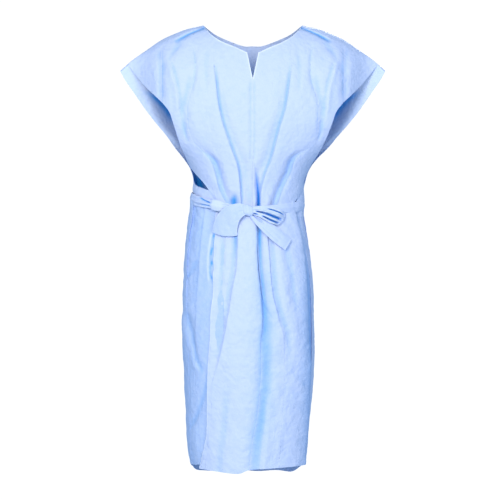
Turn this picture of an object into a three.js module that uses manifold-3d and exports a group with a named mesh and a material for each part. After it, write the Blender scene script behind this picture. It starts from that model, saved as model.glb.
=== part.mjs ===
// Patient gown: a disposable nonwoven examination gown, hanging as it does on a wearer.
// Millimetres, +Z up. The front faces -Y and +X is on the right of someone who looks at the front.
// The origin lies midway between the two neck points, where the wearer's shoulders carry the gown.
// Heights are written as drops: how far a point lies below the neck points.
import * as THREE from 'three';
import { mergeVertices } from 'three/addons/utils/BufferGeometryUtils.js';
import Module from 'manifold-3d';

// ---- Driving dimensions ----

// Cloth and clearances
const clothThickness = 2;
const hemThickness = 3;
const layerGap = 0.6;
const edgeGap = 0.4;

// Neck
const neckHalfWidth = 116;
const frontNeckDrop = 65;
const backNeckDrop = 48;
const slitHalfWidth = 12.5;
const slitDepth = 59;

// Shoulder line, from the neck point over the shoulder's end to the sleeve's tip
const shoulderHalfWidth = 212;
const shoulderDrop = 38;
const tipHalfSpan = 312;
const tipDrop = 107;

// Body form: half widths and half depths at the chest, waist, hip, thigh and hem
const chestDrop = 220;
const chestFrontDepth = 112;
const chestBackDepth = 104;
const neckDepth = 20;
const underarmDrop = 269;
const underarmHalfWidth = 205;
const ribsDrop = 336;
const ribsHalfWidth = 140;
const waistDrop = 424;
const waistHalfWidth = 127;
const waistHalfDepth = 92;
const waistShift = -10;
const hipDrop = 600;
const hipHalfWidth = 149;
const hipHalfDepth = 114;
const thighDrop = 800;
const thighHalfWidth = 152;
const thighHalfDepth = 120;
const hemHalfWidth = 133;
const hemHalfDepth = 112;
const frontLength = 1050;
const backLength = 1057;
const hemHeight = 8;

// Sleeve edges: where the front and the back panel end beside the arm
const frontEdgeDrop = 183;
const frontUnderarmHalfWidth = 174;
const frontRibsHalfWidth = 125;
const backEdgeAngles = [72, 69, 71, 95];
const wingFlattening = 0.45;
const wingStart = 180;
const seamHalfWidth = 2;
const seamThickness = 3;

// Where the panels meet at the waist and on the skirt, as angles round from the front centre
const frontWaistLeft = 38;
const frontWaistRight = 56;
const frontSkirtLeft = 37;
const frontSkirtRight = 78;
const backSkirtLeft = 22;
const backSkirtRight = 70;
const skirtFoldDrop = 560;

// Belt and bow
const beltHeight = 28;
const beltThickness = 2.5;
const beltGap = 1;
const knotWidth = 30;
const knotHeight = 30;
const knotThickness = 20;
const knotX = -11;
const knotBelowBelt = 13;
const loopHalfThickness = 9;
const leftLoop = { length: 74, startWidth: 24, endWidth: 66, fall: 17 };
const rightLoop = { length: 62, startWidth: 22, endWidth: 38, fall: 12 };
const rightTail = { length: 100, startWidth: 12, endWidth: 28, fall: 47 };
const leftTail = { length: 44, startWidth: 12, endWidth: 26, fall: 48 };

// Mesh steps
const panelColumns = 26;
const ridgeRows = 6;
const bodiceRows = 11;
const skirtColumns = 20;
const skirtRows = 9;
const loopSteps = 24;

// ---- Cloth ----

const cloth = { color: 0x9dbbe8, roughness: 0.9, metalness: 0 };
const clothInside = { color: 0x8aa6cf, roughness: 0.9, metalness: 0 };
const ribbon = { color: 0x8fb2ea, roughness: 0.85, metalness: 0 };

const gown = new THREE.Group();

function addPiece(name, geometry, finish) {
  const mesh = new THREE.Mesh(geometry, new THREE.MeshStandardMaterial(finish));
  mesh.name = name;
  gown.add(mesh);
  return mesh;
}

// A smooth curve through stations, each a place and a value.
function through(stations) {
  const slope = (k) => {
    const a = stations[Math.max(k - 1, 0)];
    const b = stations[Math.min(k + 1, stations.length - 1)];
    return (b[1] - a[1]) / (b[0] - a[0]);
  };
  return (place) => {
    let k = 0;
    while (k < stations.length - 2 && place > stations[k + 1][0]) {
      k += 1;
    }
    const [x0, y0] = stations[k];
    const [x1, y1] = stations[k + 1];
    const step = x1 - x0;
    const t = THREE.MathUtils.clamp((place - x0) / step, 0, 1);
    const rise = y1 - y0;
    const bendStart = slope(k) * step - rise;
    const bendEnd = rise - slope(k + 1) * step;
    return y0 + rise * t + t * (1 - t) * (bendStart * (1 - t) + bendEnd * t);
  };
}

// A thin closed shell on a surface, which gives a point for (u, v) from 0 to 1. A ring closes along u.
// rowAt spaces the rows, and square turns the outward direction at a rim that meets a neighbour squarely.
function shell(surface, { columns, rows, thickness, ring = false, rowAt = (v) => v, square = () => {} }) {
  const across = ring ? columns : columns + 1;
  const count = across * (rows + 1);
  const middle = [];
  for (let j = 0; j <= rows; j += 1) {
    for (let i = 0; i < across; i += 1) {
      middle.push(surface(i / columns, rowAt(j / rows)));
    }
  }
  const at = (i, j) => {
    const column = ring ? (i + across) % across : THREE.MathUtils.clamp(i, 0, across - 1);
    return middle[THREE.MathUtils.clamp(j, 0, rows) * across + column];
  };
  const positions = [];
  for (const side of [1, -1]) {
    for (let j = 0; j <= rows; j += 1) {
      for (let i = 0; i < across; i += 1) {
        const along = at(i + 1, j).clone().sub(at(i - 1, j));
        const down = at(i, j + 1).clone().sub(at(i, j - 1));
        const out = along.cross(down);
        square(out, i / columns, rowAt(j / rows));
        out.normalize();
        const point = at(i, j).clone().addScaledVector(out, side * thickness / 2);
        positions.push(point.x, point.y, point.z);
      }
    }
  }
  const triangles = [];
  const quad = (a, b, c, d) => triangles.push(a, b, c, a, c, d);
  const corner = (i, j) => j * across + (i % across);
  for (let j = 0; j < rows; j += 1) {
    for (let i = 0; i < columns; i += 1) {
      const corners = [corner(i, j), corner(i + 1, j), corner(i + 1, j + 1), corner(i, j + 1)];
      quad(...corners);
      quad(...corners.map((k) => k + count).reverse());
    }
  }
  for (let i = 0; i < columns; i += 1) {
    quad(corner(i + 1, 0), corner(i, 0), corner(i, 0) + count, corner(i + 1, 0) + count);
    quad(corner(i, rows), corner(i + 1, rows), corner(i + 1, rows) + count, corner(i, rows) + count);
  }
  for (let j = 0; j < rows && !ring; j += 1) {
    quad(corner(0, j), corner(0, j + 1), corner(0, j + 1) + count, corner(0, j) + count);
    const last = columns;
    const top = j * across + last;
    const below = top + across;
    quad(below, top, top + count, below + count);
  }
  const geometry = new THREE.BufferGeometry();
  geometry.setAttribute('position', new THREE.Float32BufferAttribute(positions, 3));
  geometry.setIndex(triangles);
  if (signedVolume(geometry) < 0) {
    geometry.setIndex(triangles.reverse());
  }
  geometry.computeVertexNormals();
  return geometry;
}

function signedVolume(geometry) {
  const points = geometry.attributes.position;
  const index = geometry.index.array;
  const [a, b, c] = [new THREE.Vector3(), new THREE.Vector3(), new THREE.Vector3()];
  let volume = 0;
  for (let k = 0; k < index.length; k += 3) {
    a.fromBufferAttribute(points, index[k]);
    b.fromBufferAttribute(points, index[k + 1]);
    c.fromBufferAttribute(points, index[k + 2]);
    volume += a.dot(b.cross(c)) / 6;
  }
  return volume;
}

// ---- Cutting ----

const wasm = await Module();
wasm.setup();

function toSolid(geometry) {
  const bare = geometry.clone();
  for (const name of Object.keys(bare.attributes)) {
    if (name !== 'position') {
      bare.deleteAttribute(name);
    }
  }
  const merged = mergeVertices(bare, 1e-4);
  const vertProperties = new Float32Array(merged.attributes.position.array);
  const triVerts = new Uint32Array(merged.index.array);
  return new wasm.Manifold(new wasm.Mesh({ numProp: 3, vertProperties, triVerts }));
}

function toGeometry(solid) {
  const mesh = solid.getMesh();
  const geometry = new THREE.BufferGeometry();
  geometry.setAttribute('position', new THREE.Float32BufferAttribute(mesh.vertProperties, 3));
  geometry.setIndex(Array.from(mesh.triVerts));
  geometry.computeVertexNormals();
  return geometry;
}

const farAway = 2000;

// A block that fills everything between two values along one axis.
function slab(axis, low, high) {
  const size = { x: farAway, y: farAway, z: farAway };
  const centre = { x: 0, y: 0, z: 0 };
  size[axis] = high - low;
  centre[axis] = (high + low) / 2;
  const block = new THREE.BoxGeometry(size.x, size.y, size.z);
  return toSolid(block.translate(centre.x, centre.y, centre.z));
}

// ---- Body form that the cloth hangs on ----

const shoulderReach = through([
  [0, neckHalfWidth],
  [shoulderDrop, shoulderHalfWidth],
  [tipDrop, tipHalfSpan],
]);
const sideReach = through([
  [tipDrop, tipHalfSpan],
  [chestDrop, (tipHalfSpan + underarmHalfWidth) / 2 - clothThickness],
  [underarmDrop, underarmHalfWidth],
  [ribsDrop, ribsHalfWidth],
  [waistDrop, waistHalfWidth],
  [hipDrop, hipHalfWidth],
  [thighDrop, thighHalfWidth],
  [backLength, hemHalfWidth],
]);
const lowerDepth = through([
  [waistDrop, waistHalfDepth],
  [hipDrop, hipHalfDepth],
  [thighDrop, thighHalfDepth],
  [backLength, hemHalfDepth],
]);

function halfWidth(drop) {
  return drop < tipDrop ? shoulderReach(drop) : sideReach(drop);
}

function halfDepth(drop, chestDepth) {
  if (drop >= waistDrop) {
    return lowerDepth(drop);
  }
  if (drop <= chestDrop) {
    const height = (chestDrop - drop) / chestDrop;
    return neckDepth + (chestDepth - neckDepth) * Math.sqrt(1 - height * height);
  }
  const fall = THREE.MathUtils.smoothstep(drop, chestDrop, waistDrop);
  return THREE.MathUtils.lerp(chestDepth, waistHalfDepth, fall);
}

function centreX(drop) {
  return waistShift * THREE.MathUtils.smoothstep(drop, chestDrop, waistDrop);
}

// The sleeves hang flatter than the chest: the share of the depth that is left at a place across.
function flatness(x) {
  return 1 - wingFlattening * THREE.MathUtils.smoothstep(Math.abs(x), wingStart, tipHalfSpan);
}

// A point on the form. The angle goes round from the front centre, positive towards +X.
function formPoint(angle, drop, out = 0) {
  const facing = Math.cos(angle);
  const chestDepth = facing > 0 ? chestFrontDepth : chestBackDepth;
  const x = (halfWidth(drop) + out) * Math.sin(angle);
  const y = -(halfDepth(drop, chestDepth) * flatness(x) + out) * facing;
  return new THREE.Vector3(centreX(drop) + x, y, -drop);
}

// ---- Bodice panels, each with its half of the sleeves ----

const rad = THREE.MathUtils.degToRad;
const frontEdge = (waistAngle) => through([
  [tipDrop, tipHalfSpan - clothThickness],
  [frontEdgeDrop, shoulderHalfWidth],
  [underarmDrop, frontUnderarmHalfWidth],
  [ribsDrop, frontRibsHalfWidth],
  [waistDrop, waistHalfWidth * Math.sin(rad(waistAngle))],
]);
const frontEdgeLeft = frontEdge(frontWaistLeft);
const frontEdgeRight = frontEdge(frontWaistRight);
const backEdge = (waistAngle) => through([
  [tipDrop, 89],
  [(tipDrop + chestDrop) / 2, backEdgeAngles[0]],
  [chestDrop, backEdgeAngles[1]],
  [underarmDrop, backEdgeAngles[2]],
  [ribsDrop, backEdgeAngles[3]],
  [waistDrop, waistAngle],
]);
const gapAngle = 0.6;
const backEdgeLeft = backEdge(180 - frontWaistLeft - gapAngle);
const backEdgeRight = backEdge(180 - frontWaistRight - gapAngle);

// How far a panel reaches round from its own centre at a drop, up to the shoulder seam above the tip.
function reachAngle(drop, chestDepth, below) {
  const depth = halfDepth(drop, chestDepth) * flatness(halfWidth(drop));
  const seamAngle = Math.acos((seamHalfWidth + layerGap) / depth);
  return drop <= tipDrop ? seamAngle : Math.min(seamAngle, below);
}

function frontReach(side, drop) {
  const edge = side < 0 ? frontEdgeLeft(drop) : frontEdgeRight(drop);
  return reachAngle(drop, chestFrontDepth, Math.asin(Math.min(edge / halfWidth(drop), 1)));
}

function backReach(side, drop) {
  const below = rad(side < 0 ? backEdgeLeft(drop) : backEdgeRight(drop));
  return drop <= tipDrop ? reachAngle(drop, chestBackDepth, below) : below;
}

function frontBodice(u, v) {
  const across = 2 * u - 1;
  const neck = frontNeckDrop * (1 - Math.abs(across)) ** 2.4;
  const drop = THREE.MathUtils.lerp(neck, waistDrop - edgeGap / 2, v);
  return formPoint(across * frontReach(across, drop), drop, clothThickness / 2);
}

function backBodice(u, v) {
  const across = 2 * u - 1;
  const neck = backNeckDrop * (1 - across * across) ** 7.5;
  const drop = THREE.MathUtils.lerp(neck, waistDrop - edgeGap / 2, v);
  const fromBack = across * backReach(across, drop);
  return formPoint(Math.PI - fromBack, drop, clothThickness / 2);
}

// Rows lie closer together beside the shoulder seam, and one row passes through the sleeve's tip.
function bodiceRowAt(v) {
  const rows = ridgeRows + bodiceRows;
  const row = v * rows;
  const tip = tipDrop / waistDrop;
  return row <= ridgeRows ? (row / ridgeRows) * tip : tip + ((row - ridgeRows) / bodiceRows) * (1 - tip);
}

// The rims along the shoulder seam face the seam, and the lower rim lies level.
function squareBodice(out, u, v) {
  if ((u === 0 || u === 1) && v * waistDrop < tipDrop + edgeGap) {
    out.y = 0;
  }
  if (v === 1) {
    out.z = 0;
  }
}

const bodiceMesh = {
  columns: panelColumns,
  rows: ridgeRows + bodiceRows,
  thickness: clothThickness,
  rowAt: bodiceRowAt,
  square: squareBodice,
};

// The slit at the centre front: a narrow V below the neck edge.
function neckSlit() {
  const outline = new THREE.Shape([
    new THREE.Vector2(0, -frontNeckDrop - slitDepth),
    new THREE.Vector2(slitHalfWidth * 2, slitDepth - frontNeckDrop),
    new THREE.Vector2(-slitHalfWidth * 2, slitDepth - frontNeckDrop),
  ]);
  const block = new THREE.ExtrudeGeometry(outline, { depth: farAway / 2, bevelEnabled: false });
  return toSolid(block.rotateX(Math.PI / 2));
}

// Cuts a panel at the two shoulder ends into the bodice and its two sleeve halves.
function partAtShoulders(whole) {
  const inner = shoulderHalfWidth - edgeGap / 2;
  const outer = shoulderHalfWidth + edgeGap / 2;
  return {
    bodice: whole.intersect(slab('x', -inner, inner)),
    left: whole.intersect(slab('x', -farAway, -outer)),
    right: whole.intersect(slab('x', outer, farAway)),
  };
}

const front = partAtShoulders(toSolid(shell(frontBodice, bodiceMesh)));
const back = partAtShoulders(toSolid(shell(backBodice, bodiceMesh)));
addPiece('front_bodice', toGeometry(front.bodice.subtract(neckSlit())), cloth);
addPiece('back_bodice', toGeometry(back.bodice), clothInside);
addPiece('sleeve_left_front', toGeometry(front.left), cloth);
addPiece('sleeve_left_back', toGeometry(back.left), clothInside);
addPiece('sleeve_right_front', toGeometry(front.right), cloth);
addPiece('sleeve_right_back', toGeometry(back.right), clothInside);

// ---- Shoulder seams ----

for (const [side, hand] of [[-1, 'left'], [1, 'right']]) {
  const seam = (u, v) => {
    const drop = u * tipDrop;
    const y = THREE.MathUtils.lerp(-seamHalfWidth, seamHalfWidth, v);
    return new THREE.Vector3(side * (halfWidth(drop) + clothThickness / 2), y, -drop);
  };
  const mesh = { columns: ridgeRows * 2, rows: 1, thickness: seamThickness };
  const parts = partAtShoulders(toSolid(shell(seam, mesh)));
  addPiece(`shoulder_seam_${hand}`, toGeometry(parts.bodice), cloth);
  addPiece(`sleeve_seam_${hand}`, toGeometry(parts[hand]), cloth);
}

// ---- Skirt panels and their hems ----

const overlap = clothThickness + layerGap;

function skirtPanel(from, to, top, bottom, out) {
  return (u, v) => {
    const angle = THREE.MathUtils.lerp(rad(from), rad(to), u);
    const drop = THREE.MathUtils.lerp(top, bottom, v);
    return formPoint(angle, drop, clothThickness / 2 + out);
  };
}

// The upper and lower rims of a skirt piece lie level.
function levelRims(out, u, v) {
  if (v === 0 || v === 1) {
    out.z = 0;
  }
}

const skirtTop = waistDrop + edgeGap / 2;
const skirts = [
  { name: 'front', from: -frontSkirtLeft, to: frontSkirtRight, length: frontLength, out: overlap, hemSide: 1 },
  { name: 'back', from: backSkirtRight, to: 360 - backSkirtLeft, length: backLength, out: 0, hemSide: -1 },
];
for (const { name, from, to, length, out, hemSide } of skirts) {
  const finish = name === 'front' ? cloth : clothInside;
  const hemTop = length - hemHeight;
  const panel = (top, bottom) => skirtPanel(from, to, top, bottom, out);
  const upperRows = Math.ceil(skirtRows / 3);
  const upper = shell(panel(skirtTop, skirtFoldDrop - edgeGap / 2), {
    columns: skirtColumns,
    rows: upperRows,
    thickness: clothThickness,
    square: levelRims,
  });
  const lower = shell(panel(skirtFoldDrop + edgeGap / 2, hemTop - edgeGap / 2), {
    columns: skirtColumns,
    rows: skirtRows,
    thickness: clothThickness,
    square: levelRims,
  });
  const hemOut = out + hemSide * (hemThickness - clothThickness) / 2;
  const hem = shell(skirtPanel(from, to, hemTop + edgeGap / 2, length, hemOut), {
    columns: skirtColumns,
    rows: 1,
    thickness: hemThickness,
    square: levelRims,
  });
  addPiece(`${name}_skirt_upper`, upper, finish);
  addPiece(`${name}_skirt_lower`, lower, finish);
  addPiece(`${name}_hem`, hem, finish);
}

// ---- Belt, knot and bow ----

const beltInside = overlap + clothThickness + beltGap;
const beltOutside = beltInside + beltThickness;

const belt = (u, v) => {
  const drop = waistDrop + (v - 0.5) * beltHeight;
  return formPoint(u * 2 * Math.PI, drop, beltInside + beltThickness / 2);
};
addPiece('waist_belt', shell(belt, { columns: 60, rows: 2, thickness: beltThickness, ring: true }), ribbon);

// How far forward a layer outside the form lies at a place on the skirt.
function frontOf(x, drop, out) {
  const level = Math.max(drop, waistDrop);
  const across = THREE.MathUtils.clamp((x - waistShift) / (halfWidth(level) + out), -0.99, 0.99);
  return (halfDepth(level, chestFrontDepth) + out) * Math.sqrt(1 - across * across);
}

const knotDrop = waistDrop + knotBelowBelt;
const knotBack = frontOf(knotX, waistDrop + beltHeight / 2, beltOutside) + layerGap;

function beltKnot() {
  const round = 7;
  const bevel = 4;
  const outline = new THREE.Shape();
  const [w, h] = [knotWidth / 2 - bevel, knotHeight / 2 - bevel];
  outline.absarc(w - round, h - round, round, 0, Math.PI / 2);
  outline.absarc(round - w, h - round, round, Math.PI / 2, Math.PI);
  outline.absarc(round - w, round - h, round, Math.PI, Math.PI * 1.5);
  outline.absarc(w - round, round - h, round, Math.PI * 1.5, Math.PI * 2);
  const block = new THREE.ExtrudeGeometry(outline, {
    depth: knotThickness - 2 * bevel,
    bevelSize: bevel,
    bevelThickness: bevel,
    bevelSegments: 2,
    curveSegments: 4,
  });
  block.rotateX(Math.PI / 2);
  block.translate(knotX, -knotBack - bevel, -knotDrop);
  return toGeometry(toSolid(block));
}
addPiece('belt_knot', beltKnot(), ribbon);

// A bow loop: a ribbon that goes out from the knot and comes back, wider at its far end.
function bowLoop(side, { length, startWidth, endWidth, fall }) {
  const startX = knotX + side * (knotWidth / 2 + edgeGap + clothThickness / 2);
  const middle = beltOutside + beltGap + clothThickness / 2 + loopHalfThickness;
  const surface = (u, v) => {
    const turn = u * 2 * Math.PI;
    const along = length * (1 - Math.cos(turn)) / 2;
    const width = THREE.MathUtils.lerp(startWidth, endWidth, along / length);
    const across = (v - 0.5) * width;
    const tilt = rad(fall) * THREE.MathUtils.smoothstep(along / length, 0, 1);
    const x = startX + side * (along * Math.cos(rad(fall)) - across * Math.sin(tilt));
    const drop = knotDrop + along * Math.sin(rad(fall)) + across * Math.cos(tilt);
    const y = -frontOf(x, drop, middle + loopHalfThickness * Math.sin(turn));
    return new THREE.Vector3(x, y, -drop);
  };
  return shell(surface, { columns: loopSteps, rows: 3, thickness: clothThickness, ring: true });
}
addPiece('bow_loop_left', bowLoop(-1, leftLoop), ribbon);
addPiece('bow_loop_right', bowLoop(1, rightLoop), ribbon);

// A belt tail: a flat ribbon end that hangs from under the knot over the skirt.
function beltTail(side, { length, startWidth, endWidth, fall }) {
  const startX = knotX + side * (knotWidth - startWidth) / 2;
  const startDrop = knotDrop + knotHeight / 2 + edgeGap + startWidth / 2;
  const surface = (u, v) => {
    const along = u * length;
    const spread = THREE.MathUtils.smoothstep(u, 0, 0.35);
    const across = (v - 0.5) * THREE.MathUtils.lerp(startWidth, endWidth, spread);
    const x = startX + side * (along * Math.cos(rad(fall)) - across * Math.sin(rad(fall)));
    const drop = startDrop + along * Math.sin(rad(fall)) + across * Math.cos(rad(fall));
    const y = -frontOf(x, drop, overlap + clothThickness + beltGap + clothThickness / 2);
    return new THREE.Vector3(x, y, -drop);
  };
  return shell(surface, { columns: 8, rows: 2, thickness: clothThickness });
}
addPiece('belt_tail_left', beltTail(-1, leftTail), ribbon);
addPiece('belt_tail_right', beltTail(1, rightTail), ribbon);

export default gown;
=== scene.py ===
import bpy
import math
import numpy as np
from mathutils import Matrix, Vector


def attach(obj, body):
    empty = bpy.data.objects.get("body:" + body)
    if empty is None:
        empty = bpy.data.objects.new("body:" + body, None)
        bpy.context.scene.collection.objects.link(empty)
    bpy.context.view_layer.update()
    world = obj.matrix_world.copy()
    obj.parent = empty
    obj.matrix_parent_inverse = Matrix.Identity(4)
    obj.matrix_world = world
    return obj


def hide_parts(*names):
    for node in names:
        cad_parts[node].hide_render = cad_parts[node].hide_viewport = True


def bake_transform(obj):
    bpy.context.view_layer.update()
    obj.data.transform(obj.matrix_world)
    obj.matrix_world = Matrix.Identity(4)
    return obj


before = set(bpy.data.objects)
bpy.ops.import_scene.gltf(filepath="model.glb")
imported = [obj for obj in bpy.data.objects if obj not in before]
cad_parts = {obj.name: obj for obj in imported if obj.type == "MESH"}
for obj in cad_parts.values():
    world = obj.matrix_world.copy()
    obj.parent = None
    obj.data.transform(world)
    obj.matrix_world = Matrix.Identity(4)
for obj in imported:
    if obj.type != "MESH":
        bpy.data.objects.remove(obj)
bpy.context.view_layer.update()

# Front bodice: the front panel from the neck and shoulders to the belt, cut from one sheet of pale blue
# spunbond nonwoven about 680 mm wide, with a V slit at the neck. The belt gathers it into pleats that
# fade out on the way up, each outer column of cloth lying over the one inside it.


def nonwoven_group():
    """The web of the cloth: fibres pressed together at thousands of small bond points. It is cloudy where
    they lie thick or thin and holds creases. Painted shade makes it deeper blue inside a fold than on an open
    face, and near white is mixed in at cut edges and as painted highlights."""
    group = bpy.data.node_groups.new("spunbond_web", "ShaderNodeTree")
    face = group.interface
    for label, kind, value in (
        ("Pale", "NodeSocketColor", (0.6, 0.75, 0.95, 1)),
        ("Fold Shade Colour", "NodeSocketColor", (0.2, 0.45, 0.9, 1)),
        ("Cut Edge And Highlight", "NodeSocketColor", (0.9, 0.95, 1, 1)),
        ("Fold Shade", "NodeSocketFloat", 0.0),
        ("Edge And Highlight", "NodeSocketFloat", 0.0),
        ("Cloudiness", "NodeSocketFloat", 0.2),
        ("Crumple", "NodeSocketFloat", 1.0),
    ):
        socket = face.new_socket(name=label, in_out="INPUT", socket_type=kind)
        socket.default_value = value
    face.new_socket(name="Color", in_out="OUTPUT", socket_type="NodeSocketColor")
    face.new_socket(name="Roughness", in_out="OUTPUT", socket_type="NodeSocketFloat")
    face.new_socket(name="Height", in_out="OUTPUT", socket_type="NodeSocketFloat")
    nodes, links = group.nodes, group.links

    def add(kind, **values):
        node = nodes.new(kind)
        for key, value in values.items():
            setattr(node, key, value)
        return node

    def sum_of(a, b, operation="ADD", factor=None):
        node = add("ShaderNodeMath", operation=operation)
        links.new(a, node.inputs[0])
        if factor is None:
            links.new(b, node.inputs[1])
        else:
            node.inputs[1].default_value = factor
        return node.outputs[0]

    inside, outside = add("NodeGroupInput"), add("NodeGroupOutput")
    place = add("ShaderNodeTexCoord").outputs["Object"]

    clouds = add("ShaderNodeTexNoise")
    clouds.inputs["Scale"].default_value = 60
    clouds.inputs["Detail"].default_value = 8
    clouds.inputs["Roughness"].default_value = 0.62
    links.new(place, clouds.inputs["Vector"])
    streaks = add("ShaderNodeTexNoise")
    streaks.inputs["Scale"].default_value = 420
    streaks.inputs["Detail"].default_value = 3
    streaks.inputs["Distortion"].default_value = 1.4
    links.new(place, streaks.inputs["Vector"])
    bonds = add("ShaderNodeTexVoronoi", feature="F1")
    bonds.inputs["Scale"].default_value = 620
    bonds.inputs["Randomness"].default_value = 0.15
    links.new(place, bonds.inputs["Vector"])
    crumple = add("ShaderNodeTexVoronoi", feature="F1")
    crumple.inputs["Scale"].default_value = 85
    crumple.inputs["Randomness"].default_value = 1.0
    warp = add("ShaderNodeTexNoise")
    warp.inputs["Scale"].default_value = 34
    warp.inputs["Detail"].default_value = 2
    links.new(place, warp.inputs["Vector"])
    shifted = add("ShaderNodeVectorMath", operation="MULTIPLY_ADD")
    links.new(warp.outputs["Color"], shifted.inputs[0])
    shifted.inputs[1].default_value = (0.03, 0.03, 0.03)
    links.new(place, shifted.inputs[2])
    links.new(shifted.outputs[0], crumple.inputs["Vector"])

    # Cloudy fibre density lightens and deepens the blue a little.
    density = add("ShaderNodeMapRange")
    density.inputs["From Min"].default_value = 0.32
    density.inputs["From Max"].default_value = 0.68
    density.inputs["To Min"].default_value = -0.5
    density.inputs["To Max"].default_value = 0.5
    links.new(clouds.outputs[0], density.inputs["Value"])
    cloudy = add("ShaderNodeMath", operation="MULTIPLY")
    links.new(density.outputs[0], cloudy.inputs[0])
    links.new(inside.outputs["Cloudiness"], cloudy.inputs[1])
    fibre = add("ShaderNodeMapRange")
    fibre.inputs["From Min"].default_value = 0.35
    fibre.inputs["From Max"].default_value = 0.65
    fibre.inputs["To Min"].default_value = -0.04
    fibre.inputs["To Max"].default_value = 0.04
    links.new(streaks.outputs[0], fibre.inputs["Value"])
    # Random cloudiness and fibres shift the pale blue a little towards the fold shade colour; the fold shade
    # value adds painted shade in the folds.
    depth = add("ShaderNodeMath", operation="ADD", use_clamp=True)
    links.new(sum_of(cloudy.outputs[0], fibre.outputs[0]), depth.inputs[0])
    links.new(inside.outputs["Fold Shade"], depth.inputs[1])
    tint = add("ShaderNodeMix", data_type="RGBA")
    links.new(depth.outputs[0], tint.inputs["Factor"])
    links.new(inside.outputs["Pale"], tint.inputs["A"])
    links.new(inside.outputs["Fold Shade Colour"], tint.inputs["B"])
    # The edge value mixes in near white: the cut edge's own tone, and painted highlights on lit edges and
    # ridges.
    rimmed = add("ShaderNodeMix", data_type="RGBA")
    links.new(inside.outputs["Edge And Highlight"], rimmed.inputs["Factor"])
    links.new(tint.outputs["Result"], rimmed.inputs["A"])
    links.new(inside.outputs["Cut Edge And Highlight"], rimmed.inputs["B"])
    links.new(rimmed.outputs["Result"], outside.inputs["Color"])

    gloss = add("ShaderNodeMapRange")
    gloss.inputs["From Min"].default_value = 0.3
    gloss.inputs["From Max"].default_value = 0.7
    gloss.inputs["To Min"].default_value = 0.52
    gloss.inputs["To Max"].default_value = 0.68
    links.new(clouds.outputs[0], gloss.inputs["Value"])
    links.new(gloss.outputs[0], outside.inputs["Roughness"])

    # Height in metres: soft paper crumple, bond points and fibres.
    facets = add("ShaderNodeMath", operation="MULTIPLY")
    links.new(crumple.outputs["Distance"], facets.inputs[0])
    links.new(inside.outputs["Crumple"], facets.inputs[1])
    crumpled = sum_of(facets.outputs[0], None, "MULTIPLY", 0.0010)
    clouded = sum_of(clouds.outputs[0], None, "MULTIPLY", 0.0013)
    pressed = sum_of(bonds.outputs["Distance"], None, "MULTIPLY", 0.00004)
    fibres = sum_of(streaks.outputs[0], None, "MULTIPLY", 0.00008)
    links.new(sum_of(sum_of(crumpled, clouded), sum_of(pressed, fibres)), outside.inputs["Height"])
    return group


spunbond = nonwoven_group()


def nonwoven(name, pale, deep, cut_edge_and_highlight_colour, cloudiness, crumple, bump=0.5, fold_shade_values="fold_shade"):
    """A colour of the cloth. Its painted fold shade and its edge values, for cut edges and painted
    highlights, are kept at each point of a piece.
    """
    material = bpy.data.materials.new(name)
    material.use_nodes = True
    nodes, links = material.node_tree.nodes, material.node_tree.links
    shader = nodes["Principled BSDF"]
    web = nodes.new("ShaderNodeGroup")
    web.node_tree = spunbond
    web.inputs["Pale"].default_value = (*pale, 1)
    web.inputs["Fold Shade Colour"].default_value = (*deep, 1)
    web.inputs["Cut Edge And Highlight"].default_value = (*cut_edge_and_highlight_colour, 1)
    web.inputs["Cloudiness"].default_value = cloudiness
    web.inputs["Crumple"].default_value = crumple
    for label, values in (("Fold Shade", fold_shade_values), ("Edge And Highlight", "edge")):
        attribute = nodes.new("ShaderNodeAttribute")
        attribute.attribute_name = values
        links.new(attribute.outputs["Fac"], web.inputs[label])
    relief = nodes.new("ShaderNodeBump")
    relief.inputs["Strength"].default_value = bump
    relief.inputs["Distance"].default_value = 1.0
    links.new(web.outputs["Height"], relief.inputs["Height"])
    links.new(web.outputs["Color"], shader.inputs["Base Color"])
    links.new(web.outputs["Roughness"], shader.inputs["Roughness"])
    links.new(relief.outputs["Normal"], shader.inputs["Normal"])
    shader.inputs["Specular IOR Level"].default_value = 0.15
    shader.inputs["Sheen Weight"].default_value = 0.05
    shader.inputs["Sheen Roughness"].default_value = 0.5
    return material


# gown_cloth: the pale blue cloth, the blue of its painted fold shade, and the near white of cut edges and
# painted highlights.
gown_cloth = nonwoven(
    "gown_cloth", (0.660, 0.728, 0.955), (0.045, 0.39, 0.90), (0.92, 0.95, 1.0), 0.10, 1.0, 1.0
)


def through(stations, at):
    """A smooth line through stations of (place, value), level beyond both ends."""
    places = np.array([s[0] for s in stations], float)
    values = np.array([s[1] for s in stations], float)
    last = len(places) - 1
    ahead, behind = np.minimum(np.arange(last + 1) + 1, last), np.maximum(np.arange(last + 1) - 1, 0)
    slopes = (values[ahead] - values[behind]) / (places[ahead] - places[behind])
    at = np.clip(np.asarray(at, float), places[0], places[-1])
    k = np.clip(np.searchsorted(places, at, side="right") - 1, 0, last - 1)
    step, rise = places[k + 1] - places[k], values[k + 1] - values[k]
    t = (at - places[k]) / step
    return values[k] + rise * t + t * (1 - t) * (
        (slopes[k] * step - rise) * (1 - t) + (rise - slopes[k + 1] * step) * t
    )


def smooth(at, start, end):
    """Rises softly from 0 at start to 1 at end."""
    t = np.clip((np.asarray(at, float) - start) / (end - start), 0, 1)
    return t * t * (3 - 2 * t)


shoulder_line = (
    (0, 0.116), (0.0085, 0.153), (0.017, 0.177), (0.0335, 0.2135), (0.058, 0.2495), (0.081, 0.2825),
    (0.107, 0.3125)
)
side_line = (
    (0.107, 0.3125), (0.151, 0.290), (0.220, 0.2565), (0.269, 0.205), (0.336, 0.140), (0.424, 0.127),
    (0.600, 0.149), (0.800, 0.152), (1.057, 0.133),
)
depth_line = ((0.424, 0.092), (0.600, 0.114), (0.800, 0.120), (1.057, 0.112))
sleeve_start = 0.212
waist_shift = -0.010


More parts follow.
